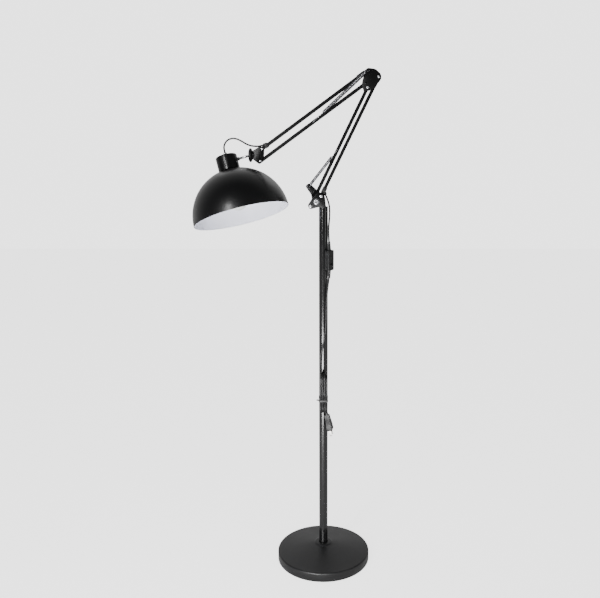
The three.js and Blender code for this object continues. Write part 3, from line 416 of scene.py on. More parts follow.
def smooth(mesh, turn=35):
    """Smooth shading, with edges that turn more than so many degrees kept crisp."""
    for face in mesh.polygons:
        face.use_smooth = True
    mesh.set_sharp_from_angle(angle=rad(turn))


def set_piece(name, bm, place, look, body, nodes=(), turn=35):
    """Moves the drawn piece to its place, in metres, and joins it to its body."""
    bmesh.ops.remove_doubles(bm, verts=bm.verts, dist=1e-4)
    bmesh.ops.transform(bm, matrix=Matrix.Scale(MM, 4) @ place, verts=bm.verts)
    bmesh.ops.recalc_face_normals(bm, faces=bm.faces)
    mesh = bpy.data.meshes.new(name)
    bm.to_mesh(mesh)
    bm.free()
    looks = look if isinstance(look, (list, tuple)) else [look]
    for one in looks:
        mesh.materials.append(one)
    smooth(mesh, turn)
    piece = bpy.data.objects.new(name, mesh)
    bpy.context.scene.collection.objects.link(piece)
    if body:
        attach(piece, body)
    if nodes:
        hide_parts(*nodes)
    return piece


def eased(corners, steps):
    """A closed outline whose corners [a, b, cut-back] are each rounded by a curve."""
    points = []
    count = len(corners)
    for i, (a, b, back) in enumerate(corners):
        here = Vector((a, b))
        before = Vector(corners[i - 1][:2])
        after = Vector(corners[(i + 1) % count][:2])
        if back <= 0:
            points.append(here)
            continue
        first = here + (before - here).normalized() * back
        last = here + (after - here).normalized() * back
        for k in range(steps + 1):
            t = k / steps
            points.append(first * (1 - t) ** 2 + here * 2 * t * (1 - t) + last * t * t)
    return points


def spun(profile, sides, closed=True):
    """A turned piece about Z from its profile of radius and height."""
    bm = bmesh.new()
    verts = [bm.verts.new((r, 0, h)) for r, h in profile]
    edges = [bm.edges.new((verts[i], verts[i + 1])) for i in range(len(verts) - 1)]
    if closed:
        edges.append(bm.edges.new((verts[-1], verts[0])))
    bmesh.ops.spin(
        bm, geom=verts + edges, cent=(0, 0, 0), axis=(0, 0, 1), dvec=(0, 0, 0), angle=TAU,
        steps=sides, use_merge=True, use_normal_flip=False, use_duplicate=False)
    bmesh.ops.remove_doubles(bm, verts=bm.verts, dist=1e-5)
    return bm


def rimmed(bm, width, edges, segments):
    """Rounds the given edges over a width."""
    bmesh.ops.bevel(
        bm, geom=edges, offset=width, offset_type="OFFSET", segments=segments,
        profile=0.5, affect="EDGES", material=-1, clamp_overlap=True)


def sharp_edges(bm):
    return [e for e in bm.edges if e.is_manifold and e.calc_face_angle(0) > rad(60)]


def plate(corners, y0, y1, rim, steps=4):
    """A flat piece: an outline in the X-Z plane with a thickness along Y and eased rims."""
    bm = bmesh.new()
    outline = [bm.verts.new((p.x, y0, p.y)) for p in eased(corners, steps)]
    face = bm.faces.new(outline)
    made = bmesh.ops.extrude_face_region(bm, geom=[face])
    moved = [v for v in made["geom"] if isinstance(v, bmesh.types.BMVert)]
    bmesh.ops.translate(bm, vec=(0, y1 - y0, 0), verts=moved)
    bmesh.ops.recalc_face_normals(bm, faces=bm.faces)
    if rim:
        rimmed(bm, rim, sharp_edges(bm), 2)
    return bm


def merged(*drawings):
    """Several drawn shapes as one drawing."""
    whole = bmesh.new()
    for part in drawings:
        mesh = bpy.data.meshes.new("part")
        part.to_mesh(mesh)
        part.free()
        whole.from_mesh(mesh)
        bpy.data.meshes.remove(mesh)
    return whole


def moved(bm, matrix):
    """Moves a drawing and hands it back."""
    bmesh.ops.transform(bm, matrix=matrix, verts=bm.verts)
    return bm


def along_y(bm, y=0.0, flip=False):
    """Turns a piece drawn about Z so that its top points along +Y, or -Y when flipped."""
    turn = Matrix.Rotation(rad(90 if flip else -90), 4, "X")
    return moved(bm, Matrix.Translation((0, y, 0)) @ turn)


def along_x(bm, flip=False):
    """Turns a piece drawn about Z so that its top points along +X, or -X when flipped."""
    return moved(bm, Matrix.Rotation(rad(-90 if flip else 90), 4, "Y"))


def block(x, y, z, rim):
    """A box of full sizes x, y, z about the origin, with eased edges."""
    bm = bmesh.new()
    bmesh.ops.create_cube(bm, size=1)
    bmesh.ops.scale(bm, vec=(x, y, z), verts=bm.verts)
    if rim:
        rimmed(bm, rim, list(bm.edges), 3)
    return bm


def cut(piece, *cutters):
    """Cuts drawn shapes, already in place in millimetres, out of a finished piece."""
    for index, drawing in enumerate(cutters):
        bmesh.ops.transform(drawing, matrix=Matrix.Scale(MM, 4), verts=drawing.verts)
        bmesh.ops.recalc_face_normals(drawing, faces=drawing.faces)
        mesh = bpy.data.meshes.new(f"cutter_{index}")
        drawing.to_mesh(mesh)
        drawing.free()
        tool = bpy.data.objects.new(f"cutter_{index}", mesh)
        bpy.context.scene.collection.objects.link(tool)
        step = piece.modifiers.new("cut", "BOOLEAN")
        step.operation = "DIFFERENCE"
        step.solver = "EXACT"
        step.object = tool
        bpy.context.view_layer.update()
        seen = piece.evaluated_get(bpy.context.evaluated_depsgraph_get())
        done = bpy.data.meshes.new_from_object(seen)
        piece.modifiers.clear()
        done.name = piece.name
        piece.data = done
        bpy.data.objects.remove(tool)
        bpy.data.meshes.remove(mesh)
    smooth(piece.data)
    return piece


def wire(name, points, radius, look, sides=5):
    """A round wire or lead along points in millimetres, made a mesh."""
    line = bpy.data.curves.new(name, "CURVE")
    line.dimensions = "3D"
    line.bevel_depth = radius * MM
    line.bevel_resolution = sides
    line.use_fill_caps = True
    track = line.splines.new("POLY")
    track.points.add(len(points) - 1)
    for spot, p in zip(track.points, points):
        spot.co = (p[0] * MM, p[1] * MM, p[2] * MM, 1)
    holder = bpy.data.objects.new(name, line)
    bpy.context.scene.collection.objects.link(holder)
    bpy.context.view_layer.update()
    seen = holder.evaluated_get(bpy.context.evaluated_depsgraph_get())
    mesh = bpy.data.meshes.new_from_object(seen)
    bpy.data.objects.remove(holder)
    bpy.data.curves.remove(line)
    mesh.name = name
    mesh.materials.clear()
    mesh.materials.append(look)
    bm = bmesh.new()
    bm.from_mesh(mesh)
    bmesh.ops.remove_doubles(bm, verts=bm.verts, dist=1e-7)
    bmesh.ops.recalc_face_normals(bm, faces=bm.faces)
    bm.to_mesh(mesh)
    bm.free()
    smooth(mesh, 50)
    piece = bpy.data.objects.new(name, mesh)
    bpy.context.scene.collection.objects.link(piece)
    return piece


def put_wire(name, points, radius, look, place, body, nodes, sides=2):
    """A wire drawn about its own origin, moved to its place and joined to its body."""
    piece = wire(name, [place @ Vector(p) for p in points], radius, look, sides)
    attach(piece, body)
    if nodes:
        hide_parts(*nodes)
    return piece


def flowing(route, spacing):
    """A smooth curve through the route's points, as evenly spaced points."""
    between_points = 14
    pts = [Vector(p) for p in route]
    ends = [pts[0] * 2 - pts[1]] + pts + [pts[-1] * 2 - pts[-2]]
    fine = []
    for i in range(1, len(ends) - 2):
        a, b, c, d = ends[i - 1:i + 3]
        for k in range(between_points):
            t = k / between_points
            fine.append(0.5 * (
                b * 2 + (c - a) * t + (a * 2 - b * 5 + c * 4 - d) * t * t
                + (b * 3 - a - c * 3 + d) * t * t * t))
    fine.append(pts[-1])
    total = sum((fine[i + 1] - fine[i]).length for i in range(len(fine) - 1))
    count = max(8, round(total / spacing))
    even, walked, target = [fine[0]], 0.0, total / count
    for i in range(len(fine) - 1):
        step = (fine[i + 1] - fine[i]).length
        while walked + step >= target - 1e-9 and len(even) < count:
            share = (target - walked) / step if step else 0
            even.append(fine[i].lerp(fine[i + 1], share))
            target += total / count
        walked += step
    even.append(fine[-1])
    return even


# ------------------------------------------------------------------ the lead

SWITCH_AT = Vector((14.8, -13, 829.5))
SWITCH_TURN = rad(50)
SWITCH_TALL = 52
SWITCH_WIDE = 22
SWITCH_FACE = 7                  # from its middle to its front and back faces
SWITCH_TOP = SWITCH_AT.z + SWITCH_TALL / 2
SWITCH_FOOT = SWITCH_AT.z - SWITCH_TALL / 2

SPOUT_ROUTE = [
    (4.6, 0, 992.9), (6.5, 0, 991.2), (8.4, 0, 986.6), (11, 0, 979.5), (13.6, 0, 971.5),
    (15.2, -0.3, 963), (15.8, -1.2, 952),
]
POLE_ROUTE = [
    (15.8, -1.2, 952), (15.4, -3.4, 938), (14.2, -6.4, 922), (13.2, -9, 906),
    (13.6, -11, 890), (14.4, -12.5, 874), (14.8, -13, 862), (14.8, -13, SWITCH_TOP - 1),
]
DROP_ROUTE = [
    (14.8, -13, SWITCH_FOOT + 1), (14.8, -13, 796), (13.6, -13.4, 780), (11.2, -14.2, 760),
    (9, -15, 738), (7.8, -15.2, 712), (7.2, -15.4, 684), (6, -15.6, 656), (3, -15.6, 628),
    (-2, -15.3, 602), (-6.4, -15, 578), (-8.8, -14.9, 556),
]
HEAD_ROUTE = [
    (-245.8, 4.7, 1096.5), (-247.4, 5.7, 1102.6), (-248.2, 6.2, 1107.4), (-248.1, 6.2, 1112.4),
    (-246, 5.8, 1118.8), (-240.4, 5, 1126.2), (-232, 4, 1130.8), (-222.4, 3, 1131.8),
    (-212.4, 2.1, 1129.4), (-202, 1.3, 1124.2), (-191.8, 0.6, 1118.4), (-181.4, 0.2, 1114.4),
    (-170.8, 0, 1112.8), (-160, 0, 1113), (-150.1, 0, 1115.3), (-146.2, 0, 1116.4),
]

HANK_NEAR = -14.3                # depth of the runs beside the pole
HANK_FAR = -41.5                 # depth of the outer runs
HANK_X = 8.9
HANK_TURNS = 4
HANK_TOP = 524
HANK_LOW = 441.8
LOWER_FOLDS = (0, 2, 0.8, 1.6)   # how far each turn's lower fold starts above HANK_LOW
UPPER_FOLDS = (0.6, 4.4, 1.6, 5.8)  # and its upper fold below HANK_TOP
TIE_Z = 463
TIE_REACH = 18.4
TIE_PINCH = 4.2
TIE_HALF = 12.2
TIE_CORNER = 3.3
TIE_FAR = -37
TIE_TALL = 4.4
PLUG_AT = Vector((11.5, -28, 412.4))
PLUG_TILT = rad(-12.4)
PLUG_TURN = rad(80)
PLUG_FACE = 6.6
BLADE_APART = 12.7


def pinched(y, z):
    """The runs draw in towards the pole where the tie holds them."""
    near_tie = 0.5 + 0.5 * math.cos(math.pi * min(abs(z - TIE_Z) / TIE_REACH, 1))
    share = (y - HANK_NEAR) / (HANK_FAR - HANK_NEAR)
    return y + TIE_PINCH * near_tie * share


def hank_line():
    """Down beside the pole, round the turns, then out to the plug."""
    radius = (HANK_NEAR - HANK_FAR) / 2
    middle = (HANK_NEAR + HANK_FAR) / 2
    steps = 12
    points = []
    start = HANK_TOP
    for turn in range(HANK_TURNS):
        low = HANK_LOW + LOWER_FOLDS[turn]
        high = HANK_TOP - UPPER_FOLDS[turn]
        legs = []
        for k in range(steps):
            legs.append((HANK_NEAR, start + (low - start) * k / steps))
        for k in range(steps):
            a = math.pi * k / steps
            legs.append((middle + radius * math.cos(a), low - radius * math.sin(a)))
        for k in range(steps):
            legs.append((HANK_FAR, low + (high - low) * k / steps))
        for k in range(steps):
            a = math.pi * k / steps
            legs.append((middle - radius * math.cos(a), high + radius * math.sin(a)))
        for k, (y, z) in enumerate(legs):
            x = -HANK_X + 2 * HANK_X * (turn + k / len(legs)) / HANK_TURNS
            points.append(Vector((x, pinched(y, z), z)))
        start = high
    points.append(Vector((HANK_X, HANK_NEAR, 518)))
    for z in (506, 494, 482, 470, 460):
        points.append(Vector((HANK_X + 0.2, pinched(HANK_NEAR, z), z)))
    points += [
        Vector((9.2, -16, 451)), Vector((9, -19.4, 442)), Vector((8.6, -24, 434)),
        Vector((8.6, -27.2, 427)), Vector((9.6, -28, 420)),
    ]
    return points


def lead(name, points, bodies, nodes):
    """One stretch of the lead, joined to its body where it rides on one, and left joined to neither
    where it runs between two.
    """
    piece = wire(name, points, CORD_R, SHEATH)
    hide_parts(*nodes)
    if len(bodies) == 1:
        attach(piece, *bodies)
    else:
        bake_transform(piece)


def make_switch():
    """In-line switch: two moulded halves, a rocker and a tapered sleeve at each end."""
    place = Matrix.Translation(SWITCH_AT) @ Matrix.Rotation(SWITCH_TURN, 4, "Z")
    wide, tall, seam = SWITCH_WIDE / 2, SWITCH_TALL / 2, 0.2
    outline = [[-wide, -tall, 5], [wide, -tall, 5], [wide, tall, 5], [-wide, tall, 5]]
    front = set_piece("switch_shell_front", plate(outline, -SWITCH_FACE, -seam, 1.4, 6), place,
                      PLASTIC, "stand", ["switch_case_front"])
    window = moved(block(10, 14, 22.6, 0), place @ Matrix.Translation((0, -6.2, 0)))
    cut(front, window)
    back = set_piece("switch_shell_back", plate(outline, seam, SWITCH_FACE, 1.4, 6), place,
                     PLASTIC, "stand", ["switch_case_back"])
    screws = make_switch_screws(place)
    rocker = make_rocker(place)
    return front, back, rocker, screws, make_switch_sleeves()


def make_rocker(place):
    """The rocker's side outline is drawn as height and depth, then turned to stand up."""
    outline = [
        [-10, -4.8, 0.4], [0, -5.8, 3], [10, -7.4, 0.8], [10, -2.6, 0.2], [-10, -2.6, 0.2],
    ]
    stand_up = Matrix(((0, 1, 0, 0), (0, 0, 1, 0), (1, 0, 0, 0), (0, 0, 0, 1)))
    rocker = moved(plate(outline, -4.5, 4.5, 0.3, 5), stand_up)
    return set_piece("rocker_key", rocker, place, PLASTIC, "rocker", ["switch_rocker"])


def make_switch_screws(place):
    """Two domed screw heads in the switch's back."""
    dome = [(0, 0.7), (1.6, 0.6), (2.1, 0), (2.1, -1), (0, -1)]
    screws = []
    for z in (-20, 20):
        screw = along_y(spun(dome, 24, False), SWITCH_FACE)
        screws.append(moved(moved(screw, Matrix.Translation((0, 0, z))), place))
    return set_piece("switch_screws", merged(*screws), Matrix(), ZINC, "stand")


def make_switch_sleeves():
    """A ribbed sleeve round the lead at each end of the switch."""
    sleeves = []
    for side, level in ((1, SWITCH_TOP), (-1, SWITCH_FOOT)):
        rings = [(2.35, 21), (3.0, 20.6)]
        for k in range(5):
            low = 18.6 - 3.6 * k
            wide = 3.2 + 0.28 * k
            rings += [
                (wide, low + 1.6), (wide - 0.45, low + 1.2), (wide - 0.4, low),
                (wide + 0.1, low - 0.4),
            ]
        rings += [(4.8, 0.6), (4.8, -1), (2.35, -1)]
        sleeve = spun(rings, 32)
        if side < 0:
            moved(sleeve, Matrix.Rotation(math.pi, 4, "X"))
        sleeves.append(moved(sleeve, Matrix.Translation((SWITCH_AT.x, SWITCH_AT.y, level))))
    return set_piece("switch_sleeves", merged(*sleeves), Matrix(), PLASTIC, "stand")


def make_plug():
    """Moulded plug with finger grooves, a ribbed neck and two flat blades."""
    place = turned_to(PLUG_AT, PLUG_TILT) @ Matrix.Rotation(PLUG_TURN, 4, "Z")
    outline = [
        [-3.4, 10.8, 1], [3.4, 10.8, 1], [5.2, 0, 4], [8.5, -8, 4], [12, -16, 6],
        [12, -32, 2], [-12, -32, 2], [-12, -16, 6], [-8.5, -8, 4], [-5.2, 0, 4],
    ]
    body = set_piece("plug_shell", plate(outline, -PLUG_FACE, PLUG_FACE, 2.2, 6), place, PLASTIC,
                     "stand", ["plug_body"])
    grooves = []
    for side in (-1, 1):
        for k in range(3):
            spot = Matrix.Translation((0, side * (PLUG_FACE + 0.3), -20 - 3 * k))
            grooves.append(moved(block(17, 2.4, 1.3, 0.4), place @ spot))
    cut(body, *grooves)
    blades = []
    for side, node in ((-1, "plug_blade_left"), (1, "plug_blade_right")):
        outline = [[-3.1, -47.6, 1.6], [3.1, -47.6, 1.6], [3.1, -31.2, 0.1], [-3.1, -31.2, 0.1]]
        blade = moved(plate(outline, -0.75, 0.75, 0.25), Matrix.Rotation(rad(90), 4, "Z"))
        hole = along_x(spun([(0, 3), (1.5, 3), (1.5, -3), (0, -3)], 24, False))
        shift = Matrix.Translation((side * BLADE_APART / 2, 0, 0))
        made = set_piece(f"{node}_fine", moved(blade, shift), place, NICKEL, "stand", [node])
        cut(made, moved(hole, place @ shift @ Matrix.Translation((0, 0, -44))))
        blades.append(made)
    rings = [(2.3, 19), (3, 18.6)]
    for k in range(5):
        low = 16 - 3.4 * k
        wide = 3.1 + 0.3 * k
        rings += [(wide, low + 1.6), (wide - 0.5, low + 1.2), (wide - 0.4, low)]
    rings += [(4.4, -4), (2.3, -4)]
    neck = set_piece("plug_sleeve", spun(rings, 32), place @ Matrix.Translation((0, 0, 10)),
                     PLASTIC, "stand")
    return [body, neck, *blades]


def make_tie():
    """Flat twist tie round the hank and the pole, its ends twisted to the left."""
    outline = []
    for k in range(25):
        a = math.pi * k / 24
        outline.append((TIE_HALF * math.cos(a), TIE_HALF * math.sin(a)))
    for k in range(9):
        a = math.pi / 2 * k / 8
        outline.append((-HANK_X - TIE_CORNER * math.cos(a), TIE_FAR - TIE_CORNER * math.sin(a)))
    for k in range(9):
        a = math.pi / 2 * k / 8
        outline.append((HANK_X + TIE_CORNER * math.sin(a), TIE_FAR - TIE_CORNER * math.cos(a)))
    bm = bmesh.new()
    low = [bm.verts.new((x, y, TIE_Z - TIE_TALL / 2)) for x, y in outline]
    rim = [bm.edges.new((low[i], low[(i + 1) % len(low)])) for i in range(len(low))]
    made = bmesh.ops.extrude_edge_only(bm, edges=rim)
    up = [v for v in made["geom"] if isinstance(v, bmesh.types.BMVert)]
    bmesh.ops.translate(bm, vec=(0, 0, TIE_TALL), verts=up)
    bmesh.ops.recalc_face_normals(bm, faces=bm.faces)
    bmesh.ops.solidify(bm, geom=bm.faces[:], thickness=0.6)
    band = set_piece("tie_band", bm, Matrix(), SHEATH, "stand", ["hank_tie"])
    ends = []
    for index, side in enumerate((0, math.pi)):
        twist = []
        for k in range(14):
            a = side + k * 0.55
            twist.append((-12 - k * 0.42, -30 + math.cos(a), TIE_Z + math.sin(a)))
        ends.append(put_wire(f"tie_end_{index}", twist, 0.9, SHEATH, Matrix(), "stand", (),
                             3))
    return [band, *ends]


def make_lead():
    """The lead with everything on it, from the lamp head to the plug."""
    switch = make_switch()
    plug = make_plug()
    tie = make_tie()
    lead("lead_at_knuckle", flowing(SPOUT_ROUTE, 2.2), ("lower_right", "knuckle"),
         ["cord_pole_upper"])
    lead("lead_to_switch", flowing(POLE_ROUTE, 2.2), ("knuckle", "stand"),
         ["cord_pole_upper"])
    lead("lead_below_switch", flowing(DROP_ROUTE + hank_line(), 2.6), ("stand",),
         ["cord_pole_lower", "cord_hank"])
    arc = flowing(HEAD_ROUTE, 2.0)
    bodies = ("lamp_head", "stem", "ball", "bracket", "upper_top")
    words = ("roll", "tilt", "pan", "arm")
    quarter = len(arc) // len(words)
    for index, word in enumerate(words):
        first = index * quarter
        last = first + quarter if index < len(words) - 1 else len(arc) - 1
        lead(f"head_lead_{word}", arc[first:last + 1], bodies[index:index + 2], ["cord_head"])


# ------------------------------------------------------------------ base and pole


def make_base():
    """Sheet cover with a rounded rim, a low cone and a boss, over a felt pad."""
    outer = [
        (BASE_R - 1.4, SKIRT_BOTTOM), (BASE_R - 0.3, SKIRT_BOTTOM), (BASE_R, SKIRT_BOTTOM + 0.5),
        (BASE_R, RIM_TOP - 6),
    ]
    cone_r = BASE_R - RIM_ROUND
    for k in range(9):
        a = rad(90) * k / 8
        rise = RIM_ROUND * (math.sin(a) - 1)
        outer.append((cone_r + RIM_ROUND * math.cos(a), RIM_TOP + rise))
    slope = (DOME_TOP - RIM_TOP) / (cone_r - BOSS_R - 6)
    for k in range(1, 9):
        r = cone_r - (cone_r - BOSS_R - 8) * k / 8
        outer.append((r, RIM_TOP + slope * (cone_r - r)))
    outer += [
        (BOSS_R + 3.4, DOME_TOP + 0.5), (BOSS_R + 1.4, DOME_TOP + 1.5),
        (BOSS_R, DOME_TOP + 2.9), (BOSS_R - 1.4, DOME_TOP + 3.6),
        (POLE_R + 2.4, BOSS_TOP - 0.2), (POLE_R + 1, BOSS_TOP - 0.4), (POLE_R + 0.4, BOSS_TOP - 1.2),
    ]
    inner = [
        (POLE_R + 0.4, BOSS_TOP - 2), (BOSS_R, DOME_TOP + 1.2), (BOSS_R + 5.4, DOME_TOP - 1.6),
        (BASE_R - 5.4, RIM_TOP - 1.6), (BASE_R - 1.5, RIM_TOP - 5),
    ]
    set_piece("base_shell", spun(outer + inner, 160), Matrix(), BASE_BLACK, "stand",
              ["base_cover"], 50)
    pad = [(0, 0), (PAD_R - 0.6, 0), (PAD_R, 0.6), (PAD_R, PAD_TALL), (0, PAD_TALL)]
    set_piece("base_felt", spun(pad, 128, False), Matrix(), FELT, "stand", ["base_pad"])


def make_pole():
    """Round tube with a plastic bush pressed into its top."""
    bore = POLE_R - POLE_WALL
    tube = [
        (bore, POLE_FOOT), (POLE_R, POLE_FOOT), (POLE_R, POLE_TOP - 0.4),
        (POLE_R - 0.4, POLE_TOP), (bore, POLE_TOP),
    ]
    set_piece("pole_tube", spun(tube, 96), Matrix(), POLE_BLACK, "stand", ["pole"])
    seat = POLE_TOP + 0.3
    collar_top = POLE_TOP + 3.3
    bush = [
        (BUSH_BORE, BUSH_FOOT), (bore - 0.3, BUSH_FOOT), (bore - 0.3, seat),
        (POLE_R - 0.3, seat), (POLE_R, seat + 0.3), (POLE_R, collar_top - 0.9),
        (POLE_R - 0.9, collar_top), (BUSH_BORE + 0.7, collar_top),
        (BUSH_BORE, collar_top - 0.7),
    ]
    set_piece("pole_bush", spun(bush, 96), Matrix(), PLASTIC, "stand", ["swivel_bush"])


# ------------------------------------------------------------------ knuckle and rivets


def rivet_head(radius, tall):
    """A domed rivet head standing on Z = 0."""
    profile = [(0, tall)]
    for k in range(1, 7):
        a = rad(90) * k / 6
        profile.append((radius * math.sin(a), tall * (0.25 + 0.75 * math.cos(a))))
    profile += [(radius, 0), (0, 0)]
    return spun(profile, 36, False)


def cross_rivet(half, radius, tall=1.4):
    """A rivet across two plates, a head on each side."""
    shank = 2.4
    body = spun([(0, -half), (shank, -half), (shank, half), (0, half)], 28, False)
    heads = [along_y(rivet_head(radius, tall), half), along_y(rivet_head(radius, tall), -half, True)]
    return merged(along_y(body), *heads)


# Corners as [along the link, out from it, cut-back].
KNUCKLE_OUTLINE = [
    [-6.6, -2.4, 2.4], [-3.6, 6.6, 3], [15.2, 11.2, 3], [20.6, 20.6, 3], [22.6, 34, 4],
    [24, 45.6, 5.6], [36, 45.2, 5.6], [37.6, 34, 3], [39.2, 13, 4], [41.6, 4.6, 2.5],
    [44, -3.4, 3.4], [39.2, -12.4, 3], [26.8, -28.6, 2], [18.4, -23.6, 2.5], [14.6, -16, 5],
    [-3.4, -6.6, 2.4],
]
JOG_START = 11.6
JOG_END = 20.6


def knuckle_plate(side):
    """Pressed plate, stepped inwards between its wide foot and its narrow spring tab."""
    bm = bmesh.new()
    outline = [bm.verts.new((p.x, 0, p.y)) for p in eased(KNUCKLE_OUTLINE, 5)]
    bm.faces.new(outline)
    levels = [JOG_START - 0.9, JOG_START, JOG_START + 0.9, JOG_END - 0.9, JOG_END, JOG_END + 0.9]
    for level in levels:
        bmesh.ops.bisect_plane(
            bm, geom=bm.verts[:] + bm.edges[:] + bm.faces[:], plane_co=(0, 0, level),
            plane_no=(0, 0, 1))
    drop = KNUCKLE_HALF - TAB_HALF
    for v in bm.verts:
        t = min(max((v.co.z - JOG_START) / (JOG_END - JOG_START), 0), 1)
        soft = t * 0.75 + 0.25 * t * t * (3 - 2 * t)
        v.co.y = side * (KNUCKLE_HALF - drop * soft)
    made = bmesh.ops.extrude_face_region(bm, geom=bm.faces[:])
    up = [v for v in made["geom"] if isinstance(v, bmesh.types.BMVert)]
    bmesh.ops.translate(bm, vec=(0, side * PLATE_T, 0), verts=up)
    bmesh.ops.recalc_face_normals(bm, faces=bm.faces)
    rimmed(bm, 0.3, sharp_edges(bm), 2)
    return bm


def spring_peg(side, foot):
    """Peg with a flat head that holds the spring's hook."""
    top = SPRING_Y + 4.4 - foot
    profile = [
        (0, 0), (2.2, 0), (2.2, top), (3.1, top), (3.3, top + 0.3), (3.3, top + 0.9),
        (2.9, top + 1.2), (0, top + 1.2),
    ]
    return along_y(spun(profile, 36, False), side * foot, side < 0)


def clamp_bolt():
    """Bolt with a domed head and a round recess in it."""
    head = [
        (0, 1.9), (2.6, 1.9), (3.0, 3.9), (4.6, 4.2), (5.5, 3.9), (5.9, 3.2), (5.9, 1.3),
        (0, 1.3),
    ]
    shank = [(0, -6), (2.9, -6), (2.9, 1.4), (0, 1.4)]
    return merged(spun(head, 48, False), spun(shank, 28, False))


def make_knuckle():
    """Two stepped plates with spring pegs, clamp bolts and two rivets."""
    place = turned_to(KNUCKLE_LEFT, -LINK_TURN)
    bolt_face = KNUCKLE_HALF + PLATE_T + 0.2
    washer_rim = [(3, 0), (8, 0), (8.4, 0.3), (8.4, 1.0), (8, 1.3), (3, 1.3)]
    for side, word in ((-1, "front"), (1, "back")):
        tab = Matrix.Translation((TAB_ALONG, 0, TAB_OUT))
        shape = merged(knuckle_plate(side), moved(spring_peg(side, TAB_HALF + 0.4), tab))
        set_piece(f"knuckle_cheek_{word}", shape, place, SATIN_BLACK, "knuckle",
                  [f"knuckle_plate_{word}"])
        washer = along_y(spun(washer_rim, 56), side * bolt_face, side < 0)
        set_piece(f"clamp_washer_{word}", washer, turned_to(CLAMP), SPRING, "knuckle")
        bolt = along_y(clamp_bolt(), side * bolt_face, side < 0)
        set_piece(f"clamp_screw_{word}", bolt, turned_to(CLAMP), ZINC, "knuckle",
                  [f"clamp_bolt_{word}"])
    for spot, node in ((KNUCKLE_RIGHT, "knuckle_pin_right"), (KNUCKLE_LEFT, "knuckle_pin_left")):
        set_piece(f"{node}_rivet", cross_rivet(KNUCKLE_HALF + PLATE_T, 3.9, 1.5),
                  turned_to(spot), ZINC, "knuckle", [node])


def make_elbow():
    """Two plates, four pins, and pegs for the upper springs on the third pin."""
    outline = [
        [-27.6, 21, 4], [-8, 18.4, 4], [5.6, 6.4, 5], [7, -4.6, 5], [-1.6, -15.4, 3],
        [-7.6, -26.4, 4], [-34.6, -35.2, 4.5], [-41, -18, 4], [-38, -2, 6],
    ]
    place = turned_to(ELBOW_1)
    for side, word in ((-1, "front"), (1, "back")):
        near, far = sorted((side * ELBOW_HALF, side * (ELBOW_HALF + PLATE_T)))
        set_piece(f"elbow_cheek_{word}", plate(outline, near, far, 0.35, 6), place, SATIN_BLACK,
                  "elbow", [f"elbow_plate_{word}"])
    half = ELBOW_HALF + PLATE_T
    for spot, node, look, slot_name in (
            (ELBOW_1, "elbow_pin_1", ZINC, "steel"), (ELBOW_2, "elbow_pin_2", ZINC, "steel"),
            (ELBOW_4, "elbow_pin_4", SATIN_BLACK, "satin_black")):
        set_piece(f"{node}_rivet", cross_rivet(half, 3.2), turned_to(spot), look, "elbow",
                  [node])
    pegs = merged(cross_rivet(half, 3.3, 0.9), spring_peg(-1, half), spring_peg(1, half))
    set_piece("elbow_pin_3_peg", pegs, turned_to(ELBOW_3), SATIN_BLACK, "elbow",
              ["elbow_pin_3"])


# ------------------------------------------------------------------ bars and springs


def square_bar(bush):
    """Square tube with eased corners and open ends, its pivots at 0 and the arm's length."""
    length = ARM_LENGTH + 2 * BAR_END
    wall = 0.9
    bm = bmesh.new()
    bmesh.ops.create_cube(bm, size=1)
    bmesh.ops.scale(bm, vec=(BAR, BAR, length), verts=bm.verts)
    bmesh.ops.translate(bm, vec=(0, 0, ARM_LENGTH / 2), verts=bm.verts)
    noses = [e for e in bm.edges if abs((e.verts[0].co - e.verts[1].co).y) > BAR * 0.9]
    rimmed(bm, BAR_NOSE, noses, 4)
    bmesh.ops.recalc_face_normals(bm, faces=bm.faces)
    ends = [f for f in bm.faces if abs(f.normal.z) > 0.99]
    bmesh.ops.inset_region(bm, faces=ends, thickness=wall, use_even_offset=True)
    for face in ends:
        inward = -face.normal * 9
        made = bmesh.ops.extrude_face_region(bm, geom=[face])
        pushed = [v for v in made["geom"] if isinstance(v, bmesh.types.BMVert)]
        bmesh.ops.translate(bm, vec=inward, verts=pushed)
        bmesh.ops.delete(bm, geom=[face], context="FACES_ONLY")
    long_edges = [e for e in bm.edges if abs((e.verts[0].co - e.verts[1].co).z) > length * 0.9]
    rimmed(bm, 1.1, long_edges, 4)
    if not bush:
        return merged(bm)
    reach = KNUCKLE_HALF - 0.4
    collar = [
        (2.9, -reach), (4.0, -reach), (4.3, 0.3 - reach), (4.3, reach - 0.3), (4.0, reach),
        (2.9, reach),
    ]
    return merged(bm, along_y(spun(collar, 36)))


def ferrule(z0, z1, spout=None):
    """Moulded sleeve over a bar, with a spout for the lead where one is given."""
    bm = block(FERRULE, FERRULE, z1 - z0, 1.2)
    bmesh.ops.translate(bm, vec=(0, 0, (z0 + z1) / 2), verts=bm.verts)
    if not spout:
        return merged(bm)
    level, side, lean = spout
    profile = [(2.3, -8), (3.6, -8), (4.0, -7.6), (4.3, -2), (4.5, 2), (2.3, 2)]
    nose = moved(spun(profile, 36), Matrix.Rotation(-side * lean, 4, "Y"))
    moved(nose, Matrix.Translation((side * (BAR / 2 - 1.4), 0, level)))
    return merged(bm, nose)


def spring_wire(length):
    """Path of one spring: a hook round its peg, a short shank, then close turns."""
    points = []
    hook = 3.25
    for k in range(22):
        a = rad(-150 + 290 * k / 21)
        points.append((hook * math.sin(a), 0, -hook * math.cos(a)))
    points.append((0.6, 0, 4.6))
    start = 6.6
    pitch = 2 * COIL_WIRE + 0.06
    turns = int((length - start - 1) / pitch)
    per_turn = 12
    for k in range(turns * per_turn + 1):
        a = TAU * k / per_turn
        widening = min(1, k / 10)
        reach = COIL_MIDDLE * (0.4 + 0.6 * widening)
        points.append((reach * math.cos(a), reach * math.sin(a), start + pitch * k / per_turn))
    return points


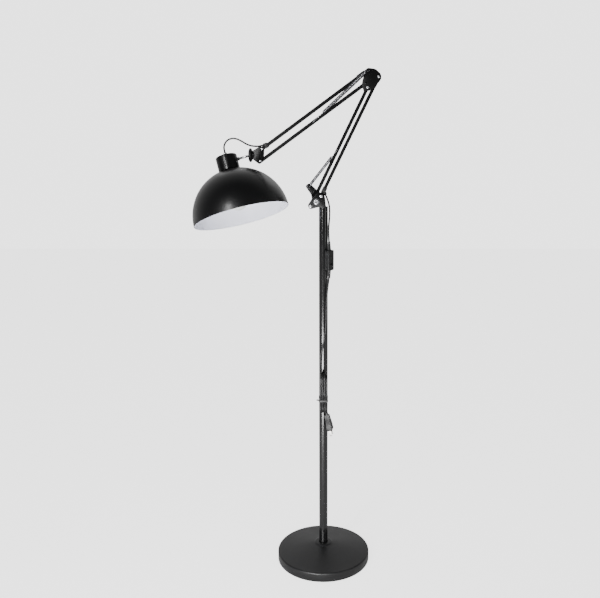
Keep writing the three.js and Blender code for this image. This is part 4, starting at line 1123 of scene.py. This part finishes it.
def make_springs(name, place, hook, turn, length, reach, body, link_body):
    """A pair of springs at place, and the bent wire that joins their ends at hook."""
    for side, word in ((-1, "front"), (1, "back")):
        spot = place @ Matrix.Translation((0, side * SPRING_Y, 0))
        put_wire(f"{name}_coil_{word}", spring_wire(length), COIL_WIRE, SPRING, spot, body,
                 [f"{name}_{word}"])
    corner = 2.2
    path = [(0, -SPRING_Y, -reach)]
    for k in range(7):
        a = rad(90) * k / 6
        path.append((0, -SPRING_Y + corner * (1 - math.cos(a)), -corner + corner * math.sin(a)))
    for k in range(7):
        a = rad(90) * k / 6
        path.append((0, SPRING_Y - corner + corner * math.sin(a), -corner + corner * math.cos(a)))
    path.append((0, SPRING_Y, -reach))
    put_wire(f"{name}_hook_wire", path, 0.55, ZINC, turned_to(hook, turn), link_body,
             [f"{name}_link"], 4)


def make_bars():
    """Both arms: four bars, three ferrules, four springs and two hook wires."""
    bars = (
        ("lower_bar_right", "lower_right", KNUCKLE_RIGHT, LOWER_LEAN, True),
        ("lower_bar_left", "lower_left", KNUCKLE_LEFT, LOWER_LEAN, True),
        ("upper_bar_top", "upper_top", ELBOW_3, UPPER_TURN, False),
        ("upper_bar_bottom", "upper_bottom", ELBOW_4, UPPER_TURN, False),
    )
    for node, body, spot, turn, bush in bars:
        set_piece(f"{node}_tube", square_bar(bush), turned_to(spot, turn), SATIN_BLACK, body,
                  [node])
    set_piece("lower_lead_ferrule", ferrule(8, 24, (12.5, 1, rad(49))),
              turned_to(KNUCKLE_RIGHT, LOWER_LEAN), PLASTIC, "lower_right", ["lower_ferrule"])
    upper = turned_to(ELBOW_3, UPPER_TURN)
    set_piece("upper_elbow_ferrule", ferrule(8, 30), upper, PLASTIC, "upper_top",
              ["upper_ferrule_elbow"])
    far_end = Matrix.Translation((0, 0, ARM_LENGTH)) @ Matrix.Rotation(math.pi, 4, "Y")
    set_piece("upper_lead_ferrule", moved(ferrule(9, 18, (15, -1, rad(20))), far_end), upper,
              PLASTIC, "upper_top", ["upper_ferrule_head"])
    lower_turn = facing(TAB, LOWER_HOOK)
    make_springs("lower_spring", turned_to(TAB, lower_turn), LOWER_HOOK, lower_turn, 95, 33,
                 "lower_springs", "lower_link")
    upper_turn = facing(ELBOW_3, UPPER_HOOK)
    make_springs("upper_spring", turned_to(ELBOW_3, upper_turn), UPPER_HOOK, upper_turn, 148, 43,
                 "upper_springs", "upper_link")


# ------------------------------------------------------------------ head joint


def make_bracket():
    """Two cheeks joined by a web, with a cup in front for the ball."""
    outline = [
        [-23.2, -4.4, 1.5], [-4, 6.4, 3], [5.4, 1.6, 4], [3.4, -22, 4], [-6.6, -38.6, 5],
        [-23.2, -25.8, 1.5],
    ]
    half = ELBOW_HALF + PLATE_T
    cheeks = [plate(outline, *sorted((side * ELBOW_HALF, side * half)), 0.35, 6)
              for side in (-1, 1)]
    web = [[-23.2, -4.6, 0.6], [-19.2, -2.6, 0.6], [-19.2, -28.6, 0.6], [-23.2, -25.6, 0.6]]
    cup = [
        (7.4, 27.6), (10.2, 27.6), (10.6, 27.2), (10.6, 23), (10.6, 20.6), (4, 20.6),
        (7.2, 25.6),
    ]
    boss = moved(along_x(spun(cup, 48), True), Matrix.Translation((0, 0, -15.3)))
    shape = merged(*cheeks, plate(web, -7, 7, 0.2), boss)
    set_piece("head_yoke", shape, turned_to(HEAD_1), SATIN_BLACK, "bracket", ["head_bracket"])
    for spot, node in ((HEAD_1, "head_pin_top"), (HEAD_2, "head_pin_bottom")):
        set_piece(f"{node}_rivet", cross_rivet(half, 3.2), turned_to(spot), ZINC, "bracket",
                  [node])


def make_ring():
    """Clamp ring: a round hand wheel with a shallow dish and a grooved rim."""
    profile = eased([
        [8.5, 5, 0.6], [12, 4.6, 1.5], [15.6, 3, 1], [17.2, 1.3, 0.8], [17.2, -1.3, 0.8],
        [15.6, -3, 1], [12, -4.6, 1.5], [10.9, -5, 0.3], [10.9, 3.0, 0.3], [6.4, 2.7, 0.3],
    ], 4)
    ring = spun([(p.x, p.y) for p in profile], 120)
    grooves = 40
    for v in ring.verts:
        if math.hypot(v.co.x, v.co.y) > 15.4:
            notch = 0.5 + 0.5 * math.cos(grooves * math.atan2(v.co.y, v.co.x))
            v.co.x *= 1 - 0.012 * notch
            v.co.y *= 1 - 0.012 * notch
    set_piece("clamp_wheel", along_x(ring, True), turned_to(BALL + in_plane(-1.6, 0)), PLASTIC,
              "knob", ["clamp_ring"])


def make_stem():
    """Ball, and a necked stem with a hexagon collar outside the cap and a nut inside it."""
    ball = bmesh.new()
    bmesh.ops.create_uvsphere(ball, u_segments=48, v_segments=32, radius=BALL_R)
    set_piece("stem_ball", ball, HEAD_PLACE, CHROME, "ball", ["head_ball"], 60)
    inside = HEAD_OFFSET - CAP_R + 5.2
    profile = [
        (0, inside), (2.9, inside), (2.9, 24), (2.5, 23.4), (2.5, 22.6), (2.9, 22), (2.9, 10),
        (2.5, 8.6), (2.5, 7.2), (0, 7.2),
    ]
    rod = spun(profile, 36, False)
    face = HEAD_OFFSET - CAP_R - 0.4
    collar = spun([
        (2.8, face), (4.6, face), (5, face - 0.4), (5, face - 3.7), (4.6, face - 4.2),
        (2.8, face - 4.2)], 6)
    nut = spun([
        (2.8, inside), (4.8, inside), (5, inside - 0.3), (5, inside - 0.9), (4.8, inside - 1.2),
        (2.8, inside - 1.2)], 6)
    set_piece("stem_rod", along_x(merged(rod, collar, nut), True), HEAD_PLACE, CHROME, "stem",
              ["head_stem"])


# ------------------------------------------------------------------ lamp head


def dome_arc(radius):
    """Half the dome's section, from just above the rim to the neck."""
    steps = 56
    low, high = rad(0.6), math.acos(NECK_R / radius)
    points = []
    for k in range(steps + 1):
        a = low + (high - low) * k / steps
        points.append((radius * math.cos(a), radius * math.sin(a) - RIM_DROP))
    return points


def neck_slots():
    """Four curved slots round the shade's neck, as cutters."""
    count, near, far, half = 4, 33, 36.5, rad(17)
    slots = []
    for index in range(count):
        middle = (index + 0.5) * TAU / count
        arc = []
        for k in range(9):
            a = middle - half + 2 * half * k / 8
            arc.append((far * math.cos(a), far * math.sin(a)))
        for k in range(8, -1, -1):
            a = middle - half + 2 * half * k / 8
            arc.append((near * math.cos(a), near * math.sin(a)))
        slot = bmesh.new()
        face = slot.faces.new([slot.verts.new((x, y, -45)) for x, y in arc])
        made = bmesh.ops.extrude_face_region(slot, geom=[face])
        up = [v for v in made["geom"] if isinstance(v, bmesh.types.BMVert)]
        bmesh.ops.translate(slot, vec=(0, 0, 40), verts=up)
        slots.append(moved(slot, SHADE_PLACE))
    return slots


def make_shade():
    """Spun dome with a rolled rim, black outside and white inside."""
    outer_r = SHADE_R - 0.2
    inner_r = SHADE_R - SHADE_T
    rolled = [
        (inner_r - 0.1, 0.5), (inner_r - 0.3, 0.1), (inner_r + 0.2, -0.3), (outer_r - 0.4, -0.4),
        (outer_r - 0.1, 0.0), (outer_r, 0.5), (outer_r - 0.02, 1.0),
    ]
    profile = dome_arc(outer_r) + dome_arc(inner_r)[::-1]
    profile += [(r, h - RIM_DROP + 0.5) for r, h in rolled]
    bm = spun(profile, 160)
    bmesh.ops.recalc_face_normals(bm, faces=bm.faces)
    split = (outer_r + inner_r) / 2
    centre = Vector((0, 0, -RIM_DROP))
    for face in bm.faces:
        middle = face.calc_center_median()
        if (middle - centre).length < split and middle.z > -RIM_DROP + 0.4:
            face.material_index = 1
    shade = set_piece("dome_shade", bm, SHADE_PLACE, [SHADE_BLACK, INNER_WHITE], "lamp_head",
                      ["shade"], 40)
    cut(shade, *neck_slots())
    smooth(shade.data, 40)


def make_cap():
    """Round cap on the shade's neck, with a hole at its side for the stem."""
    inner = CAP_R - CAP_WALL
    foot = math.sqrt(SHADE_R ** 2 - inner ** 2) - RIM_DROP + 0.4
    ceiling = CAP_TOP - 2.8
    section = eased([
        [CAP_R, foot, 0], [CAP_R, CAP_TOP, 4.2], [4.8, CAP_TOP, 0.3], [4.8, ceiling, 0.2],
        [inner, ceiling, 2.5], [inner, foot, 0],
    ], 7)
    cap = set_piece("socket_cover", spun([(p.x, p.y) for p in section], 128), SHADE_PLACE,
                    CAP_BLACK, "lamp_head", ["socket_cap"], 40)
    way_in = along_x(spun([(0, 0), (3.3, 0), (3.3, 40), (0, 40)], 32, False))
    cut(cap, moved(way_in, SHADE_PLACE))
    smooth(cap.data, 40)


def make_gland():
    """Turned gland on the cap with a cross grip that holds the lead."""
    section = [
        (2.5, 11.4), (4.3, 11.4), (4.3, 14.9), (6.3, 14.9), (6.6, 15.2), (6.6, 17), (6.2, 17.4),
        (5.2, 17.6), (4.8, 18.6), (4.4, 20.4), (4.2, 22), (3.8, 23.4), (2.5, 23.6),
    ]
    set_piece("lead_gland", spun(section, 48), SHADE_PLACE, ZINC, "lamp_head", ["cord_gland"])
    grip = moved(block(6, 13.6, 3.2, 0.5), Matrix.Translation((0, 0, 19.4)))
    set_piece("gland_grip", grip, SHADE_PLACE, ZINC, "lamp_head")


def make_holder():
    """Ceramic bulb holder, and the ring that clamps the shade to it."""
    section = [
        (0, 8), (17, 8), (19, 6), (19, -20), (18.4, -21), (19, -22), (19, -44), (18, -45),
        (14.5, -45), (14.5, -16.7), (0, -16.7),
    ]
    set_piece("bulb_holder", spun(section, 96, False), SHADE_PLACE, PORCELAIN, "lamp_head",
              ["lampholder"])
    wide, bore, ease = 27, 19.4, 5
    top = math.sqrt((SHADE_R - SHADE_T) ** 2 - wide ** 2) - RIM_DROP - 0.9
    ring = [(bore, top), (wide, top), (wide, top - 3)]
    for k in range(1, 5):
        ring.append((wide - ease * k / 4, top - 3 - ease * math.sin(rad(90) * k / 4)))
    ring.append((bore, top - 3 - ease))
    set_piece("shade_nut", spun(ring, 96), SHADE_PLACE, INNER_WHITE, "lamp_head",
              ["shade_ring"])


def make_bulb():
    """Frosted globe on a screw cap."""
    top = -17
    join = top - 26
    cap = [(0, top), (4.4, top), (4.8, top - 1.6), (6.5, top - 3), (10.6, top - 5)]
    for k in range(5):
        z = top - 6.5 - 3.4 * k
        cap += [(12.2, z), (13.1, z - 0.9), (13.1, z - 1.6), (12.2, z - 2.5)]
    cap += [(12.9, join + 1.4), (12.9, join), (0, join)]
    set_piece("bulb_screw", spun(cap, 64, False), SHADE_PLACE, ZINC, "lamp_head", ["bulb_cap"])
    centre = join - 52
    knots = [
        (12.2, join - 0.4), (13.0, join - 5), (14.2, join - 11), (17.6, join - 19),
        (22.6, join - 28),
    ]
    glass = [(0, join - 0.4)] + [(p.x, p.z) for p in flowing([(r, 0, z) for r, z in knots], 1.6)]
    for k in range(1, 25):
        a = rad(38) - rad(128) * k / 24
        glass.append((GLOBE_R * math.cos(a) if k < 24 else 0, centre + GLOBE_R * math.sin(a)))
    set_piece("bulb_glass", spun(glass, 96, False), SHADE_PLACE, FROSTED, "lamp_head",
              ["bulb_globe"], 60)


# ------------------------------------------------------------------ the rest

# Pieces taken as they are from the frame, with their finishes.
CARRIED_OVER = {
    "base_weight": IRON,
    "base_bolt": ZINC,
    "swivel_block": SATIN_BLACK,
    "cord_lower_bar": SHEATH,
    "cord_upper_bar": SHEATH,
}


def finish_carried_over():
    for node, look in CARRIED_OVER.items():
        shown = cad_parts[node]
        shown.data.materials.clear()
        shown.data.materials.append(look)


def make_floor():
    """A wide pale floor that fades into the backdrop."""
    bm = bmesh.new()
    bmesh.ops.create_grid(bm, x_segments=1, y_segments=1, size=8)
    mesh = bpy.data.meshes.new("studio_floor")
    bm.to_mesh(mesh)
    bm.free()
    floor = bpy.data.objects.new("studio_floor", mesh)
    bpy.context.scene.collection.objects.link(floor)
    floor.location = (0, 0, -0.0002)
    pale, shader, _ = blank_material("pale_floor")
    shader.inputs["Base Color"].default_value = (0.6, 0.6, 0.6, 1)
    shader.inputs["Roughness"].default_value = 0.9
    nodes, links = pale.node_tree.nodes, pale.node_tree.links
    path = nodes.new("ShaderNodeLightPath")
    shader.inputs["Emission Color"].default_value = (1, 1, 1, 1)
    seen = ranged(pale, path.outputs["Is Camera Ray"], 0.3, PAPER - 0.35)
    links.new(seen, shader.inputs["Emission Strength"])
    mesh.materials.append(pale)


set_camera()
set_light()
make_lead()
make_base()
make_pole()
make_knuckle()
make_elbow()
make_bars()
make_bracket()
make_ring()
make_stem()
make_shade()
make_cap()
make_gland()
make_holder()
make_bulb()
finish_carried_over()
make_floor()
